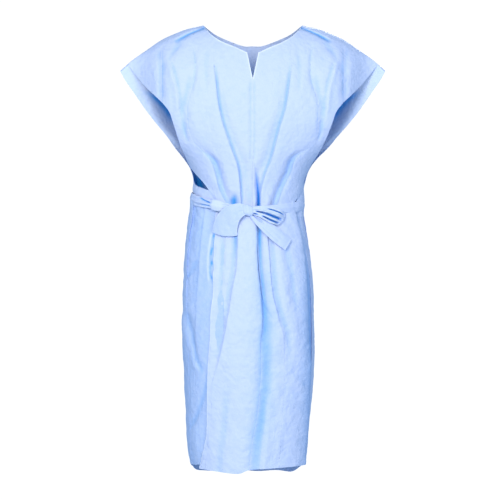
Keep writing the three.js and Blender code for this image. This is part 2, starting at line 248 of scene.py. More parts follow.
def half_width(drop):
    """Half the gown's width at this drop below the shoulder."""
    return np.where(drop < 0.107, through(shoulder_line, drop), through(side_line, drop))


def half_depth(drop, chest):
    """Half the gown's depth from front to back. chest is the half depth across the chest."""
    rounded = 0.020 + (chest - 0.020) * np.sqrt(
        np.clip(1 - ((0.220 - np.minimum(drop, 0.220)) / 0.220) ** 2, 0, 1)
    )
    to_waist = chest + (0.092 - chest) * smooth(drop, 0.220, 0.424)
    upper = np.where(drop <= 0.220, rounded, to_waist)
    return np.where(drop >= 0.424, through(depth_line, drop), upper)


def centre_x(drop):
    """The middle of the gown moves a little to the left on the way down to the waist."""
    return waist_shift * smooth(drop, 0.220, 0.424)


def on_form(angle, drop, out=0.0, push=0.0):
    """A point of the shape the gown hangs in, at this angle from the centre front and this drop below the
    shoulder: broad and shallow at the shoulders, narrow at the tied waist and round again at the skirt.
    out stands the point off the form, push moves it to the front."""
    width = half_width(drop)
    chest = np.where(np.cos(angle) > 0, 0.112, 0.104)
    beside = np.abs(width * np.sin(angle))
    flat = 1 - 0.45 * smooth(beside, 0.180, 0.312) - 0.47 * smooth(beside, 0.215, 0.290) * (
        1 - smooth(drop, 0.20, 0.26)
    )
    behind = np.cos(angle) < 0
    flat = flat * np.where(
        behind, 1 - 0.82 * smooth(beside / width, 0.68, 0.90) * (1 - smooth(drop, 0.26, 0.335)), 1
    )
    x = centre_x(drop) + (width + out) * np.sin(angle)
    y = -(half_depth(drop, chest) * flat + out) * np.cos(angle) - push
    return np.stack(np.broadcast_arrays(x, y, -drop), axis=-1)


def angle_of(x, drop):
    """The angle from the centre front of a place this far to the side."""
    return np.arcsin(np.clip((x - centre_x(drop)) / half_width(drop), -0.99999, 0.99999))


def waves(a, b, seed):
    """Smooth random hills, one for each unit of a and b, between -1 and 1."""
    table = np.random.RandomState(seed).uniform(-1, 1, (64, 64))
    ia, ib = np.floor(a).astype(int), np.floor(b).astype(int)
    fa, fb = a - ia, b - ib
    fa, fb = fa * fa * fa * (fa * (fa * 6 - 15) + 10), fb * fb * fb * (fb * (fb * 6 - 15) + 10)
    near = table[ia % 64, ib % 64] * (1 - fa) + table[(ia + 1) % 64, ib % 64] * fa
    far = table[ia % 64, (ib + 1) % 64] * (1 - fa) + table[(ia + 1) % 64, (ib + 1) % 64] * fa
    return near * (1 - fb) + far * fb


def crease(x, drop, line, width, depth, start, end, fade=0.03):
    """A groove (or a ridge, where depth is below zero) along a line of (drop, x) places."""
    shift = (x - through(line, drop)) / width
    along = smooth(drop, start, start + fade) * (1 - smooth(drop, end - fade, end))
    return -depth * along * np.exp(-shift * shift)


def pleated(lines, pleats, counts, fold_columns=7):
    """Columns of cloth between lines, folded over at the inner lines.

    lines holds an angle for each row and line. pleats gives each inner line its hidden depth, its lift
    and the side that lies on top. The result is the angle and the lift of each column, row by row."""
    angles, lifts = [], []
    rows = lines[0].shape[0]
    level = np.zeros(rows)
    start_angle, start_lift = lines[0], level
    for k, count in enumerate(counts):
        last = k == len(counts) - 1
        depth, lift, top = (level, level, 1) if last else pleats[k]
        end_angle = lines[k + 1]
        end_lift = level if last else (lift if top > 0 else level)
        t = np.linspace(0, 1, count, endpoint=False)[None, :]
        angles.append(start_angle[:, None] * (1 - t) + end_angle[:, None] * t)
        lifts.append(start_lift[:, None] * (1 - t) + end_lift[:, None] * t)
        if last:
            angles.append(end_angle[:, None])
            lifts.append(end_lift[:, None])
            break
        turn = end_angle - depth * top
        turn_lift = lift / 2
        after = level if top > 0 else lift
        t = np.linspace(0, 1, fold_columns, endpoint=False)[None, :]
        if top < 0:
            turn = end_angle + depth
        angles.append(end_angle[:, None] * (1 - t) + turn[:, None] * t)
        lifts.append(end_lift[:, None] * (1 - t) + turn_lift[:, None] * t)
        angles.append(turn[:, None] * (1 - t) + end_angle[:, None] * t)
        lifts.append(turn_lift[:, None] * (1 - t) + after[:, None] * t)
        start_angle, start_lift = end_angle, after
    angles, lifts = np.concatenate(angles, axis=1), np.concatenate(lifts, axis=1)
    return soften(angles, 2), soften(lifts, 2)


def soften(grid, passes):
    """Rounds the turns along the rows and leaves both ends where they are."""
    for _ in range(passes):
        middle = 0.25 * grid[:, :-2] + 0.5 * grid[:, 1:-1] + 0.25 * grid[:, 2:]
        grid = np.concatenate([grid[:, :1], middle, grid[:, -1:]], axis=1)
    return grid


def blurred(grid, passes):
    """Evens out a grid of values with its neighbours."""
    for _ in range(passes):
        padded = np.pad(grid, 1, mode="edge")
        grid = (
            padded[1:-1, :-2] + padded[1:-1, 2:] + padded[:-2, 1:-1] + padded[2:, 1:-1] + 2
            * padded[1:-1, 1:-1]
        ) / 6
    return grid


def painted_fold_shade(lift, reach=14, scale=0.0045, broad=0.5, most=0.62):
    """How deep each point lies in a fold, from 0 on an open face to most: the amount of painted shade there.
    """
    near = blurred(lift, reach)
    wide = blurred(near, reach * 7)
    deep = np.clip((near - lift) / scale + broad * np.clip((wide - near) / scale, 0, 1), 0, None)
    return most * (1 - np.exp(-deep))


def sheet_mesh(name, patches, materials, thickness=0.0007, facing=(0, -1, 0), join=False):
    """One thin solid sheet from grids of points, each with its painted fold shade and edge values (cut edges
    and painted highlights), and with its painted fold shade on the inside where that differs."""
    points, faces, folds, edges, insides, spread = [], [], [], [], [], []
    for grid, fold_shade, edge, *inside in patches:
        rows, columns = grid.shape[:2]
        first = sum(len(p) for p in points)
        points.append(grid.reshape(-1, 3))
        folds.append(fold_shade.reshape(-1))
        edges.append(edge.reshape(-1))
        insides.append((inside[0] if inside else fold_shade).reshape(-1))
        index = first + np.arange(rows * columns).reshape(rows, columns)
        faces.append(
            np.stack(
                [index[:-1, :-1], index[1:, :-1], index[1:, 1:], index[:-1, 1:]], axis=-1
            ).reshape(-1, 4)
        )
        across = np.concatenate(
            [np.zeros((rows, 1)), np.cumsum(np.linalg.norm(np.diff(grid, axis=1), axis=2), axis=1)], axis=1
        )
        down = np.concatenate(
            [np.zeros((1, columns)), np.cumsum(np.linalg.norm(np.diff(grid, axis=0), axis=2), axis=0)],
            axis=0
        )
        spread.append(np.stack([across, down], axis=-1).reshape(-1, 2))
    points, faces, spread = np.concatenate(points), np.concatenate(faces), np.concatenate(spread)
    mesh = bpy.data.meshes.new(name)
    mesh.from_pydata(points.tolist(), [], faces.tolist())
    mesh.update()
    normals = np.zeros(len(faces) * 3)
    mesh.polygons.foreach_get("normal", normals)
    if (normals.reshape(-1, 3) @ np.array(facing)).sum() < 0:
        mesh.flip_normals()
    for label, values in (
        ("fold_shade", np.concatenate(folds)), ("edge", np.concatenate(edges)),
        ("fold_shade_inside", np.concatenate(insides))
    ):
        attribute = mesh.attributes.new(label, "FLOAT", "POINT")
        attribute.data.foreach_set("value", values.astype(np.float32))
    layer = mesh.uv_layers.new(name="cloth")
    corner = np.zeros(len(mesh.loops), dtype=np.int64)
    mesh.loops.foreach_get("vertex_index", corner)
    layer.data.foreach_set("uv", spread[corner].reshape(-1).astype(np.float32))
    piece = bpy.data.objects.new(name, mesh)
    bpy.context.scene.collection.objects.link(piece)
    for material in materials:
        mesh.materials.append(material)
    bpy.ops.object.select_all(action="DESELECT")
    piece.select_set(True)
    bpy.context.view_layer.objects.active = piece
    if join:
        bpy.ops.object.mode_set(mode="EDIT")
        bpy.ops.mesh.select_all(action="SELECT")
        bpy.ops.mesh.remove_doubles(threshold=0.0002)
        bpy.ops.object.mode_set(mode="OBJECT")
    solid = piece.modifiers.new("cloth thickness", "SOLIDIFY")
    solid.thickness = thickness
    solid.offset = 0
    if len(materials) > 1:
        solid.material_offset = 1
    bpy.ops.object.modifier_apply(modifier=solid.name)
    bpy.ops.object.shade_smooth_by_angle(angle=math.radians(65))
    return piece


belt_line = (
    (-3.1416, 0.418), (-2.2, 0.412), (-1.55, 0.407), (-0.66, 0.423), (0.0, 0.436), (0.9, 0.430),
    (1.57, 0.422), (2.2, 0.418), (3.1416, 0.418),
)
front_edge_upper = (
    (0.0935, 0.2925), (0.144, 0.252), (0.169, 0.2265), (0.183, 0.212), (0.205, 0.195), (0.227, 0.187),
    (0.264, 0.174),
    (0.296, 0.160),
)
front_edge_left = front_edge_upper + ((0.336, 0.1385), (0.375, 0.103), (0.413, 0.078), (0.440, 0.070))
front_edge_right = front_edge_upper + (
    (0.336, 0.1385), (0.366, 0.128), (0.390, 0.1255), (0.421, 0.104), (0.440, 0.098)
)
front_neck_line = (
    (0, 0.069), (0.0125, 0.067), (0.030, 0.059), (0.048, 0.051), (0.066, 0.0435), (0.083, 0.034),
    (0.099, 0.0215), (0.116, 0.0),
)
slit_top, slit_bottom, slit_half_width = 0.069, 0.129, 0.0125
drop_table = np.linspace(0, 0.107, 800)
outer_pleat_left = (
    (0.008, -0.138), (0.047, -0.1385), (0.092, -0.134), (0.127, -0.136), (0.156, -0.143), (0.190, -0.152),
    (0.235, -0.151), (0.275, -0.139), (0.300, -0.116), (0.318, -0.099), (0.340, -0.089), (0.387, -0.077),
    (0.420, -0.061),
)
main_pleat_left = (
    (0.040, -0.088), (0.092, -0.090), (0.127, -0.0866), (0.186, -0.0795), (0.229, -0.070), (0.286, -0.051),
    (0.335, -0.034), (0.396, -0.0276), (0.440, -0.027),
)
centre_pleat = (
    (0.065, 0.0), (0.250, 0.0), (0.316, 0.0007), (0.363, 0.0070), (0.400, 0.0100), (0.440, 0.0110)
)
main_pleat_right = (
    (0.040, 0.088), (0.092, 0.0904), (0.139, 0.0857), (0.198, 0.0762), (0.245, 0.062), (0.316, 0.0432),
    (0.359, 0.0260), (0.395, 0.0180), (0.440, 0.0145),
)
outer_pleat_right = (
    (0.008, 0.138), (0.047, 0.1385), (0.092, 0.134), (0.127, 0.136), (0.156, 0.143), (0.190, 0.152),
    (0.235, 0.151), (0.270, 0.147), (0.290, 0.133), (0.3115, 0.1022), (0.347, 0.088), (0.387, 0.069),
    (0.440, 0.052),
)


def shoulder_drop(x):
    """How far the shoulder ridge has dropped at this distance from the centre."""
    return np.interp(np.abs(x), through(shoulder_line, drop_table), drop_table)


def front_top(x):
    """How far the front panel's top edge has dropped at this distance from the centre."""
    return np.where(np.abs(x) < 0.116, through(front_neck_line, np.abs(x)), shoulder_drop(x))


def front_side(side, drop):
    """The angle of the front panel's outer border: the sleeve's start, then its own free edge."""
    edge = through(front_edge_left if side < 0 else front_edge_right, drop)
    angle = np.arcsin(np.clip(edge / half_width(drop), 0, 0.99999))
    return side * np.where(
        drop < 0.183, np.minimum(angle, np.abs(angle_of(side * sleeve_start, drop))), angle
    )


def front_folds(x, drop):
    """The worn-in folds of the front panel, towards the wearer where below zero."""
    side = np.abs(x)
    relief = crease(
        side, drop, ((0.02, 0.160), (0.045, 0.1716), (0.090, 0.202), (0.130, 0.206)), 0.010, 0.0028, 0.02,
        0.130
    )
    relief = relief + crease(
        side, drop, ((0.040, 0.2185), (0.163, 0.2135)), 0.009, 0.0040, 0.045, 0.185, 0.03
    )
    step = smooth(drop, 0.05, 0.08) * (1 - smooth(drop, 0.17, 0.24))
    relief = relief + 0.0030 * step * smooth(side, 0.160, 0.200) * (1 - smooth(side, 0.2000, 0.2190))
    relief = relief + crease(
        side, drop, ((0.078, 0.193), (0.118, 0.180), (0.150, 0.172), (0.21, 0.166)), 0.0045, 0.0022, 0.075,
        0.225
    )
    relief = relief + crease(
        side, drop, ((0.078, 0.201), (0.118, 0.190), (0.150, 0.180), (0.21, 0.174)), 0.0050, -0.0030, 0.07,
        0.225
    )
    relief = relief + crease(
        side, drop, ((0.006, 0.112), (0.0205, 0.148), (0.038, 0.178)), 0.0075, 0.0070, -0.02, 0.046, 0.016
    )
    relief = relief + crease(
        side, drop, ((0.215, 0.163), (0.250, 0.158), (0.28, 0.150)), 0.005, 0.0028, 0.215, 0.29
    )
    relief = relief + crease(
        side, drop, ((0.04, 0.140), (0.092, 0.134), (0.127, 0.136), (0.16, 0.143)), 0.0045, 0.0030, 0.04,
        0.17, 0.04
    )
    relief = relief + crease(
        side, drop, ((0.10, 0.142), (0.156, 0.151), (0.190, 0.160), (0.26, 0.158)), 0.0110, 0.0050, 0.09,
        0.285, 0.06
    )
    relief = relief + crease(
        side, drop, ((0.05, 0.106), (0.10, 0.108), (0.18, 0.105)), 0.008, 0.0018, 0.04, 0.18, 0.05
    )
    relief = relief + crease(
        x, drop, ((0.125, -0.005), (0.300, -0.004), (0.36, 0.0), (0.44, 0.002)), 0.0040, 0.0022, 0.122, 0.38
    )
    relief = relief + crease(
        x, drop, ((0.125, 0.004), (0.300, 0.004), (0.36, 0.011), (0.44, 0.013)), 0.0040, 0.0022, 0.122, 0.33
    )
    relief = relief + crease(
        x, drop, ((0.33, 0.006), (0.38, 0.0105), (0.44, 0.0125)), 0.0050, 0.0120, 0.325, 0.50, 0.06
    )
    relief = relief + crease(x, drop, ((0.37, -0.045), (0.44, -0.041)), 0.0090, 0.0085, 0.388, 0.50, 0.025)
    for line, inward in ((main_pleat_left, 1), (main_pleat_right, -1)):
        shifted = tuple((place, value + inward * 0.0035) for place, value in line)
        relief = relief + crease(x, drop, shifted, 0.0032, 0.0022, 0.085, 0.50, 0.05)
        shifted = tuple((place, value + inward * 0.0110) for place, value in line)
        relief = relief + crease(x, drop, shifted, 0.0095, 0.0032, 0.11, 0.50, 0.12)
        shifted = tuple((place, value + inward * 0.0190) for place, value in line)
        relief = relief + crease(x, drop, shifted, 0.0100, 0.0035, 0.24, 0.50, 0.12)
    for line, inward in ((outer_pleat_left, 1), (outer_pleat_right, -1)):
        shifted = tuple((place, value + inward * 0.0095) for place, value in line)
        relief = relief + crease(x, drop, shifted, 0.0080, 0.0075, 0.285, 0.50, 0.04)
    return relief


def loose(x, drop, near_belt, seed):
    """The small crumples of a sheet that has been worn and handled."""
    relief = (0.0004 + 0.0014 * near_belt) * waves(x / (0.026 - 0.014 * near_belt) + 7, drop / 0.075, seed)
    relief = relief + 0.00055 * waves(x / 0.012, drop / 0.014, seed + 2) + 0.0009 * waves(
        x / 0.040 + 3, drop / 0.045, seed + 5
    )
    return relief + 0.0003 * waves((x + 0.6 * drop) / 0.006, (drop - 0.6 * x) / 0.008, seed + 7)


def front_half(side):
    """The left (-1) or right (1) half of the front bodice, as points, painted fold shade and edges."""
    rows = 120
    if side < 0:
        inner = (outer_pleat_left, main_pleat_left)
        counts = (26, 34, 40)
    else:
        inner = (centre_pleat, main_pleat_right, outer_pleat_right)
        counts = (4, 24, 34, 26)
    steps = np.linspace(0, 1, rows)
    steps = 0.55 * steps + 0.45 * steps ** 2.2

    def layout(drop_rows):
        slit = slit_half_width * np.clip((slit_bottom - drop_rows) / (slit_bottom - slit_top), 0, 1.05)
        middle = through(centre_pleat, drop_rows)
        grow = smooth(drop_rows, 0.13, 0.40)
        width = half_width(drop_rows)
        outer = (0.0005 + 0.023 * smooth(drop_rows, 0.285, 0.40)) / width
        main = (0.0005 + 0.007 * smooth(drop_rows, 0.09, 0.14) + 0.019 * grow) / width
        outer_lift = 0.0003 + 0.0065 * smooth(drop_rows, 0.285, 0.34)
        main_lift = 0.0003 + 0.0036 * smooth(drop_rows, 0.088, 0.14) + 0.0034 * grow
        if side < 0:
            lines = [front_side(-1, drop_rows)] + [
                angle_of(through(line, drop_rows), drop_rows) for line in inner
            ]
            lines.append(angle_of(middle - slit, drop_rows))
            pleats = [(outer, outer_lift, 1), (main, main_lift, 1)]
        else:
            lines = [angle_of(middle + slit, drop_rows)]
            lines.append(angle_of(middle + slit + 0.0012, drop_rows))
            lines += [
                angle_of(np.maximum(through(line, drop_rows), middle + slit + 0.003), drop_rows)
                for line in inner[1:]
            ]
            lines.append(front_side(1, drop_rows))
            middle_fold = smooth(drop_rows, 0.28, 0.41)
            pleats = [
                (0.013 * middle_fold / width, 0.0060 * middle_fold, 1), (main, main_lift, -1),
                (outer, outer_lift, -1)
            ]
        return pleated(lines, pleats, counts)

    # Each column starts at the neckline or the shoulder and ends under the belt.
    trial = np.linspace(0, 0.10, 500)
    guess_angle, _ = layout(trial)
    guess_x = centre_x(trial)[:, None] + half_width(trial)[:, None] * np.sin(guess_angle)
    above = trial[:, None] - front_top(guess_x)
    top = np.array([np.interp(0, above[:, c], trial) for c in range(above.shape[1])])
    base = np.linspace(0, 0.45, 900)
    table_angle, table_lift = layout(base)
    foot = np.array([through(belt_line, table_angle[830, c]) for c in range(len(top))]) + 0.004
    drop = top[None, :] + (foot - top)[None, :] * steps[:, None]
    angle = np.stack([np.interp(drop[:, c], base, table_angle[:, c]) for c in range(len(top))], axis=1)
    lift = np.stack([np.interp(drop[:, c], base, table_lift[:, c]) for c in range(len(top))], axis=1)
    x = centre_x(drop) + half_width(drop) * np.sin(angle)
    near_top = np.minimum(1, (drop - top) / 0.004 + 0.15)
    folds = lift + front_folds(x, drop) * near_top
    relief = folds + loose(x, drop, smooth(drop, 0.30, 0.43), 3) * near_top
    points = on_form(angle, drop, 0.001, relief + 0.002 * smooth(drop, 0.36, 0.42))
    # The neck rim and the slit rim are the cut edges' own near white.
    edge_tone_and_highlight = np.maximum(np.exp(-((drop - top) / 0.0022) ** 2) * (np.abs(x) < 0.113), 0)
    slit_rim = np.exp(
        -(
            (
                (
                    np.abs(x) - slit_half_width
                    * np.clip((slit_bottom - drop) / (slit_bottom - slit_top), 0, 1)
                ) / 0.0022
            ) ** 2
        )
    ) * (drop < slit_bottom)
    # Painted shade: a dark V down the middle below the slit, a dark pocket on the left by the belt, a streak
    # under each shoulder ridge and a line beside each pleat.
    vee_shade = crease(
        x, drop, ((0.33, 0.007), (0.38, 0.0115), (0.44, 0.0135)), 0.0036 + 0 * x, -0.75, 0.345, 0.50, 0.07
    )
    pocket_shade = crease(x, drop, ((0.37, -0.045), (0.44, -0.041)), 0.0080, -0.55, 0.392, 0.50, 0.02)
    crease_shade = crease(
        np.abs(x), drop, ((0.008, 0.112), (0.0225, 0.148), (0.040, 0.178)), 0.0085, -0.34, -0.01, 0.050,
        0.022
    )
    for line, inward, start in (
        (main_pleat_left, 1, 0.082), (main_pleat_right, -1, 0.082), (outer_pleat_left, 1, 0.272),
        (outer_pleat_right, -1, 0.272)
    ):
        shifted = tuple((place, value + inward * 0.0022) for place, value in line)
        crease_shade = np.maximum(crease_shade, crease(x, drop, shifted, 0.0042, -0.22, start, 0.50, 0.06))
    deep = np.clip(painted_fold_shade(folds, 14, 0.0040) + vee_shade + pocket_shade + crease_shade, 0, 1)
    return points, deep, np.clip(np.maximum(edge_tone_and_highlight, slit_rim), 0, 1)


front_bodice = sheet_mesh("front_bodice_cloth", [front_half(-1), front_half(1)], [gown_cloth], join=True)
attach(front_bodice, "gown")
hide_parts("front_bodice")

# Back bodice: the same sheet of cloth behind, cut to a flatter neck. Its free edges come round the
# sides to the front at the belt, so that its inside shows through the neck and the arm openings.
# The inside of the same cloth gets a lighter copy of its blue, painted light on its shaded face, and its own
# painted shade colour.
inside_cloth_lightened = nonwoven(
    "gown_cloth_inside_lightened", (0.70, 0.79, 0.99), (0.02, 0.40, 0.92), (0.84, 0.9, 0.96), 0.12, 1.0, 0.9,
    "fold_shade_inside"
)
back_edge_upper = (
    (0.107, 0.3118), (0.127, 0.3010), (0.151, 0.2845), (0.175, 0.268), (0.198, 0.252), (0.222, 0.2335),
    (0.245, 0.2145),
    (0.269, 0.194), (0.290, 0.177),
)
back_edge_left = (
    (0.269, 71.2), (0.310, 82), (0.336, 91), (0.368, 93), (0.380, 112), (0.390, 134), (0.424, 146)
)
back_edge_right = ((0.269, 71.2), (0.310, 82), (0.336, 91), (0.372, 95), (0.392, 108), (0.424, 124))
back_neck_line = (
    (0, 0.045), (0.020, 0.045), (0.048, 0.036), (0.085, 0.0205), (0.104, 0.008), (0.116, -0.001)
)


def back_top(x):
    """How far the back panel's top edge has dropped at this distance from the centre."""
    return np.where(np.abs(x) < 0.116, through(back_neck_line, np.abs(x)), shoulder_drop(x))


def back_side(side, drop):
    """The back panel's outer border, as an angle from the centre back."""
    upper = np.arcsin(np.clip(through(back_edge_upper, drop) / half_width(drop), 0, 0.99999))
    reach = np.where(
        drop < 0.269, upper, np.radians(through(back_edge_left if side < 0 else back_edge_right, drop))
    )
    at_sleeve = np.arcsin(np.clip(sleeve_start / half_width(drop), 0, 0.99999))
    return side * np.where(drop < 0.269, np.minimum(reach, at_sleeve), reach)


def on_back(turn, drop, relief):
    """A point of the back panel: its folds stand straight back high up and off the form lower down."""
    lower = smooth(drop, 0.20, 0.30)
    return on_form(np.pi - turn, drop, 0.001 + relief * lower, -relief * (1 - lower))


def back_shade(x, drop):
    """The inside of the back panel is in the shade of the front one, deepest just beyond its edge."""
    side = np.abs(x)
    beyond = side - through(front_edge_left, drop)
    lens = np.exp(
        -((beyond - 0.003) / 0.012) ** 2
    ) * smooth(drop, 0.145, 0.172) * (1 - smooth(drop, 0.200, 0.240))
    strip = (1 - 0.5 * smooth(beyond, 0.0, 0.045)) * smooth(drop, 0.14, 0.23)
    waist = smooth(drop, 0.32, 0.37)
    return np.clip(0.85 * lens + 0.10 * strip + 1.0 * waist, 0, 1)


back_pleat_tops = (-0.150, -0.095, -0.045, 0.042, 0.092, 0.148)


def back_layout(drop_rows):
    """Six pleats that run down the back and close up towards the belt."""
    close = smooth(drop_rows, 0.12, 0.41)
    lines = [back_side(-1, drop_rows)]
    pleats = []
    for number, top_x in enumerate(back_pleat_tops):
        top_angle = np.arcsin(np.clip(top_x / np.maximum(half_width(drop_rows), 0.152), -0.99, 0.99))
        waist_angle = top_x / 0.150 * 1.05
        lines.append(top_angle * (1 - close) + waist_angle * close)
        depth = (0.002 + 0.017 * smooth(drop_rows, 0.10 + 0.02 * (number % 3), 0.41)) / half_width(drop_rows)
        lift = 0.0012 * smooth(drop_rows, 0.05, 0.10) + 0.0050 * smooth(drop_rows, 0.12, 0.40)
        pleats.append((depth, lift, 1 if top_x < 0 else -1))
    lines.append(back_side(1, drop_rows))
    return pleated(lines, pleats, (40, 18, 18, 26, 18, 18, 40))


def back_panel_bodice():
    """The back bodice as points, painted fold shade, edges and the painted shade seen from inside."""
    rows = 120
    steps = np.linspace(0, 1, rows)
    steps = 0.55 * steps + 0.45 * steps ** 2.2
    base = np.linspace(0, 0.45, 900)
    table_angle, table_lift = back_layout(base)
    table_x = half_width(base)[:, None] * np.sin(table_angle)
    above = base[:, None] - back_top(table_x)
    top = np.array([np.interp(0, above[:200, c], base[:200]) for c in range(above.shape[1])])
    foot_angle = table_angle[830]
    around = np.where(foot_angle > 0, np.pi - foot_angle, -np.pi - foot_angle)
    foot = through(belt_line, around) + 0.004
    drop = top[None, :] + (foot - top)[None, :] * steps[:, None]
    turn = np.stack([np.interp(drop[:, c], base, table_angle[:, c]) for c in range(len(top))], axis=1)
    lift = np.stack([np.interp(drop[:, c], base, table_lift[:, c]) for c in range(len(top))], axis=1)
    x = centre_x(drop) + half_width(drop) * np.sin(turn)
    near_top = np.minimum(1, (drop - top) / 0.004 + 0.15)
    relief = lift + loose(x, drop, smooth(drop, 0.28, 0.43), 13) * near_top
    points = on_back(turn, drop, relief)
    edge_tone_and_highlight = np.exp(-((drop - top) / 0.0022) ** 2) * (np.abs(x) < 0.113) * 0.4
    outside_fold_shade = painted_fold_shade(lift, 14, 0.0040)
    return points, outside_fold_shade, np.clip(edge_tone_and_highlight, 0, 1), np.maximum(
        outside_fold_shade, back_shade(x, drop) * smooth(np.abs(x), 0.095, 0.125)
    )


back_bodice = sheet_mesh(
    "back_bodice_cloth", [back_panel_bodice()], [gown_cloth, inside_cloth_lightened], facing=(0, 1, 0)
)
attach(back_bodice, "gown")
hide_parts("back_bodice")

# Cap sleeves: the outer corners of the same two panels, open at the bottom. They bend up from the
# shoulder. The back one reaches further out, so a strip of its inside shows past the front one.


def wing_patch(side, front):
    """A sleeve half, from the sleeve's start to its tip, between the shoulder ridge and its free edge."""
    columns, rows = 56, 76
    drops = np.linspace(0.0935 if front else 0.107, 0.27, 500)
    if front:
        edge_x = through(front_edge_upper, drops)
        tip = 0.2915
    else:
        edge_x = through(back_edge_upper, drops)
        tip = 0.3115
    reach = sleeve_start + (tip - sleeve_start) * np.linspace(0, 1, columns)
    foot = np.interp(-reach, -edge_x, drops)
    ridge = shoulder_drop(reach)
    steps = np.linspace(0, 1, rows)
    steps = 0.6 * steps + 0.4 * steps ** 2
    drop = ridge[None, :] + (np.maximum(foot, ridge + 0.001) - ridge)[None, :] * steps[:, None]
    x = np.broadcast_to(reach, drop.shape)
    angle = np.arcsin(np.clip(x / half_width(drop), 0, 0.99999))
    if front:
        near_top = np.minimum(1, (drop - ridge) / 0.004 + 0.15)
        folds = front_folds(side * x, drop) * near_top
        relief = folds + loose(side * x, drop, 0, 3) * near_top
        points = on_form(angle * side, drop, 0.001, relief)
        shade, inside = painted_fold_shade(folds, 14, 0.0040), None
    else:
        relief = loose(side * x, drop, 0, 13) * np.minimum(1, (drop - ridge) / 0.004 + 0.15)
        folds = 0 * relief
        points = on_back(side * angle, drop, relief)
        shade, inside = 0 * relief, back_shade(x, drop)
    if side < 0:
        points = points[:, ::-1]
        shade = shade[:, ::-1]
        inside = None if inside is None else inside[:, ::-1]
    return (points, shade, np.zeros_like(shade)) + (() if inside is None else (inside,))


for side, word in ((-1, "left"), (1, "right")):
    for front, face in ((True, "front"), (False, "back")):
        node = f"sleeve_{word}_{face}"
        wing = sheet_mesh(
            f"{node}_cloth", [wing_patch(side, front)], [gown_cloth] if front else [gown_cloth, inside_cloth_lightened],
            facing=(0, -1 if front else 1, 0),
        )
        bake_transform(wing)
        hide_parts(node)

# Shoulder seams: the two panels are laid together and run under a narrow sewn edge, from the neck
# out to the sleeve, and on along the sleeve to its tip.


def seam_strip(side, start, end):
    """A small rolled edge along the shoulder ridge."""
    along = np.linspace(start, end, 60)
    ridge = shoulder_drop(along)
    turns = np.linspace(0, 2 * np.pi, 9)
    radius = 0.0016
    x = side * along[None, :] + 0 * turns[:, None]
    y = radius * 1.25 * np.sin(turns)[:, None] + 0 * along[None, :]
    z = -ridge[None, :] + radius * np.cos(turns)[:, None] - 0.0004
    return np.stack([x, y, z], axis=-1)


def rolled_seam(name, side, start, end):
    """The rolled edge as a closed piece."""
    grid = seam_strip(side, start, end)
    rows, columns = grid.shape[:2]
    points = grid[:-1].reshape(-1, 3)
    index = np.arange((rows - 1) * columns).reshape(rows - 1, columns)
    index = np.concatenate([index, index[:1]])
    faces = np.stack(
        [index[:-1, :-1], index[1:, :-1], index[1:, 1:], index[:-1, 1:]], axis=-1
    ).reshape(-1, 4).tolist()
    faces += [index[:-1, 0].tolist(), index[:-1, -1][::-1].tolist()]
    mesh = bpy.data.meshes.new(name)
    mesh.from_pydata(points.tolist(), [], faces)
    for label in ("fold_shade", "edge"):
        mesh.attributes.new(label, "FLOAT", "POINT")
    mesh.materials.append(gown_cloth)
    piece = bpy.data.objects.new(name, mesh)
    bpy.context.scene.collection.objects.link(piece)
    bpy.ops.object.select_all(action="DESELECT")
    piece.select_set(True)
    bpy.context.view_layer.objects.active = piece
    bpy.ops.object.mode_set(mode="EDIT")
    bpy.ops.mesh.select_all(action="SELECT")
    bpy.ops.mesh.normals_make_consistent(inside=False)
    bpy.ops.object.mode_set(mode="OBJECT")
    bpy.ops.object.shade_smooth_by_angle(angle=math.radians(65))
    return piece


for side, word in ((-1, "left"), (1, "right")):
    seam = rolled_seam(f"shoulder_seam_{word}_edge", side, 0.1165, 0.2119)
    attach(seam, "gown")
    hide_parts(f"shoulder_seam_{word}")
    seam = rolled_seam(f"sleeve_seam_{word}_edge", side, 0.2121, 0.3105)
    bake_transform(seam)
    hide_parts(f"sleeve_seam_{word}")

# Front skirt: the front panel from the belt to the knee, laid over the back panel. The belt holds
# it in a box pleat at the middle and two soft pleats on the right, which open towards the hem.
front_skirt_edge = (
    (0.410, -0.086), (0.496, -0.087), (0.552, -0.089), (0.616, -0.090), (0.689, -0.096), (0.741, -0.098),
    (0.793, -0.102), (0.847, -0.103), (0.958, -0.105), (0.994, -0.111), (1.031, -0.119), (1.050, -0.121),
)
box_pleat_left = (
    (0.410, -0.0345), (0.4626, -0.0347), (0.517, -0.0352), (0.571, -0.0378), (0.623, -0.0480),
    (0.675, -0.0559),
    (0.736, -0.0666), (0.786, -0.0772), (0.819, -0.0880), (0.850, -0.0930), (0.958, -0.0960), (1.050, -0.110),
)
box_pleat_right = (
    (0.410, 0.010), (0.4696, 0.0101), (0.557, 0.0120), (0.609, 0.0172), (0.663, 0.0220), (0.701, 0.0235),
    (0.741, 0.0190), (0.819, 0.0190), (0.866, 0.0149), (0.920, 0.0095), (0.972, -0.0010), (1.050, -0.010),
)
second_pleat = (
    (0.410, 0.028), (0.505, 0.036), (0.571, 0.0408), (0.635, 0.0479), (0.689, 0.0597), (0.727, 0.0700),
    (0.793, 0.0739), (0.900, 0.068), (1.050, 0.058),
)
side_pleat = (
    (0.410, 0.090), (0.470, 0.104), (0.545, 0.119), (0.673, 0.130), (0.741, 0.1325), (0.800, 0.1345),
    (0.930, 0.1285), (1.050, 0.1205),
)
front_hem_line = (
    (-0.122, 1.041), (-0.065, 1.049), (-0.030, 1.051), (-0.011, 1.043), (0.041, 1.039), (0.121, 1.033),
    (0.140, 1.026)
)


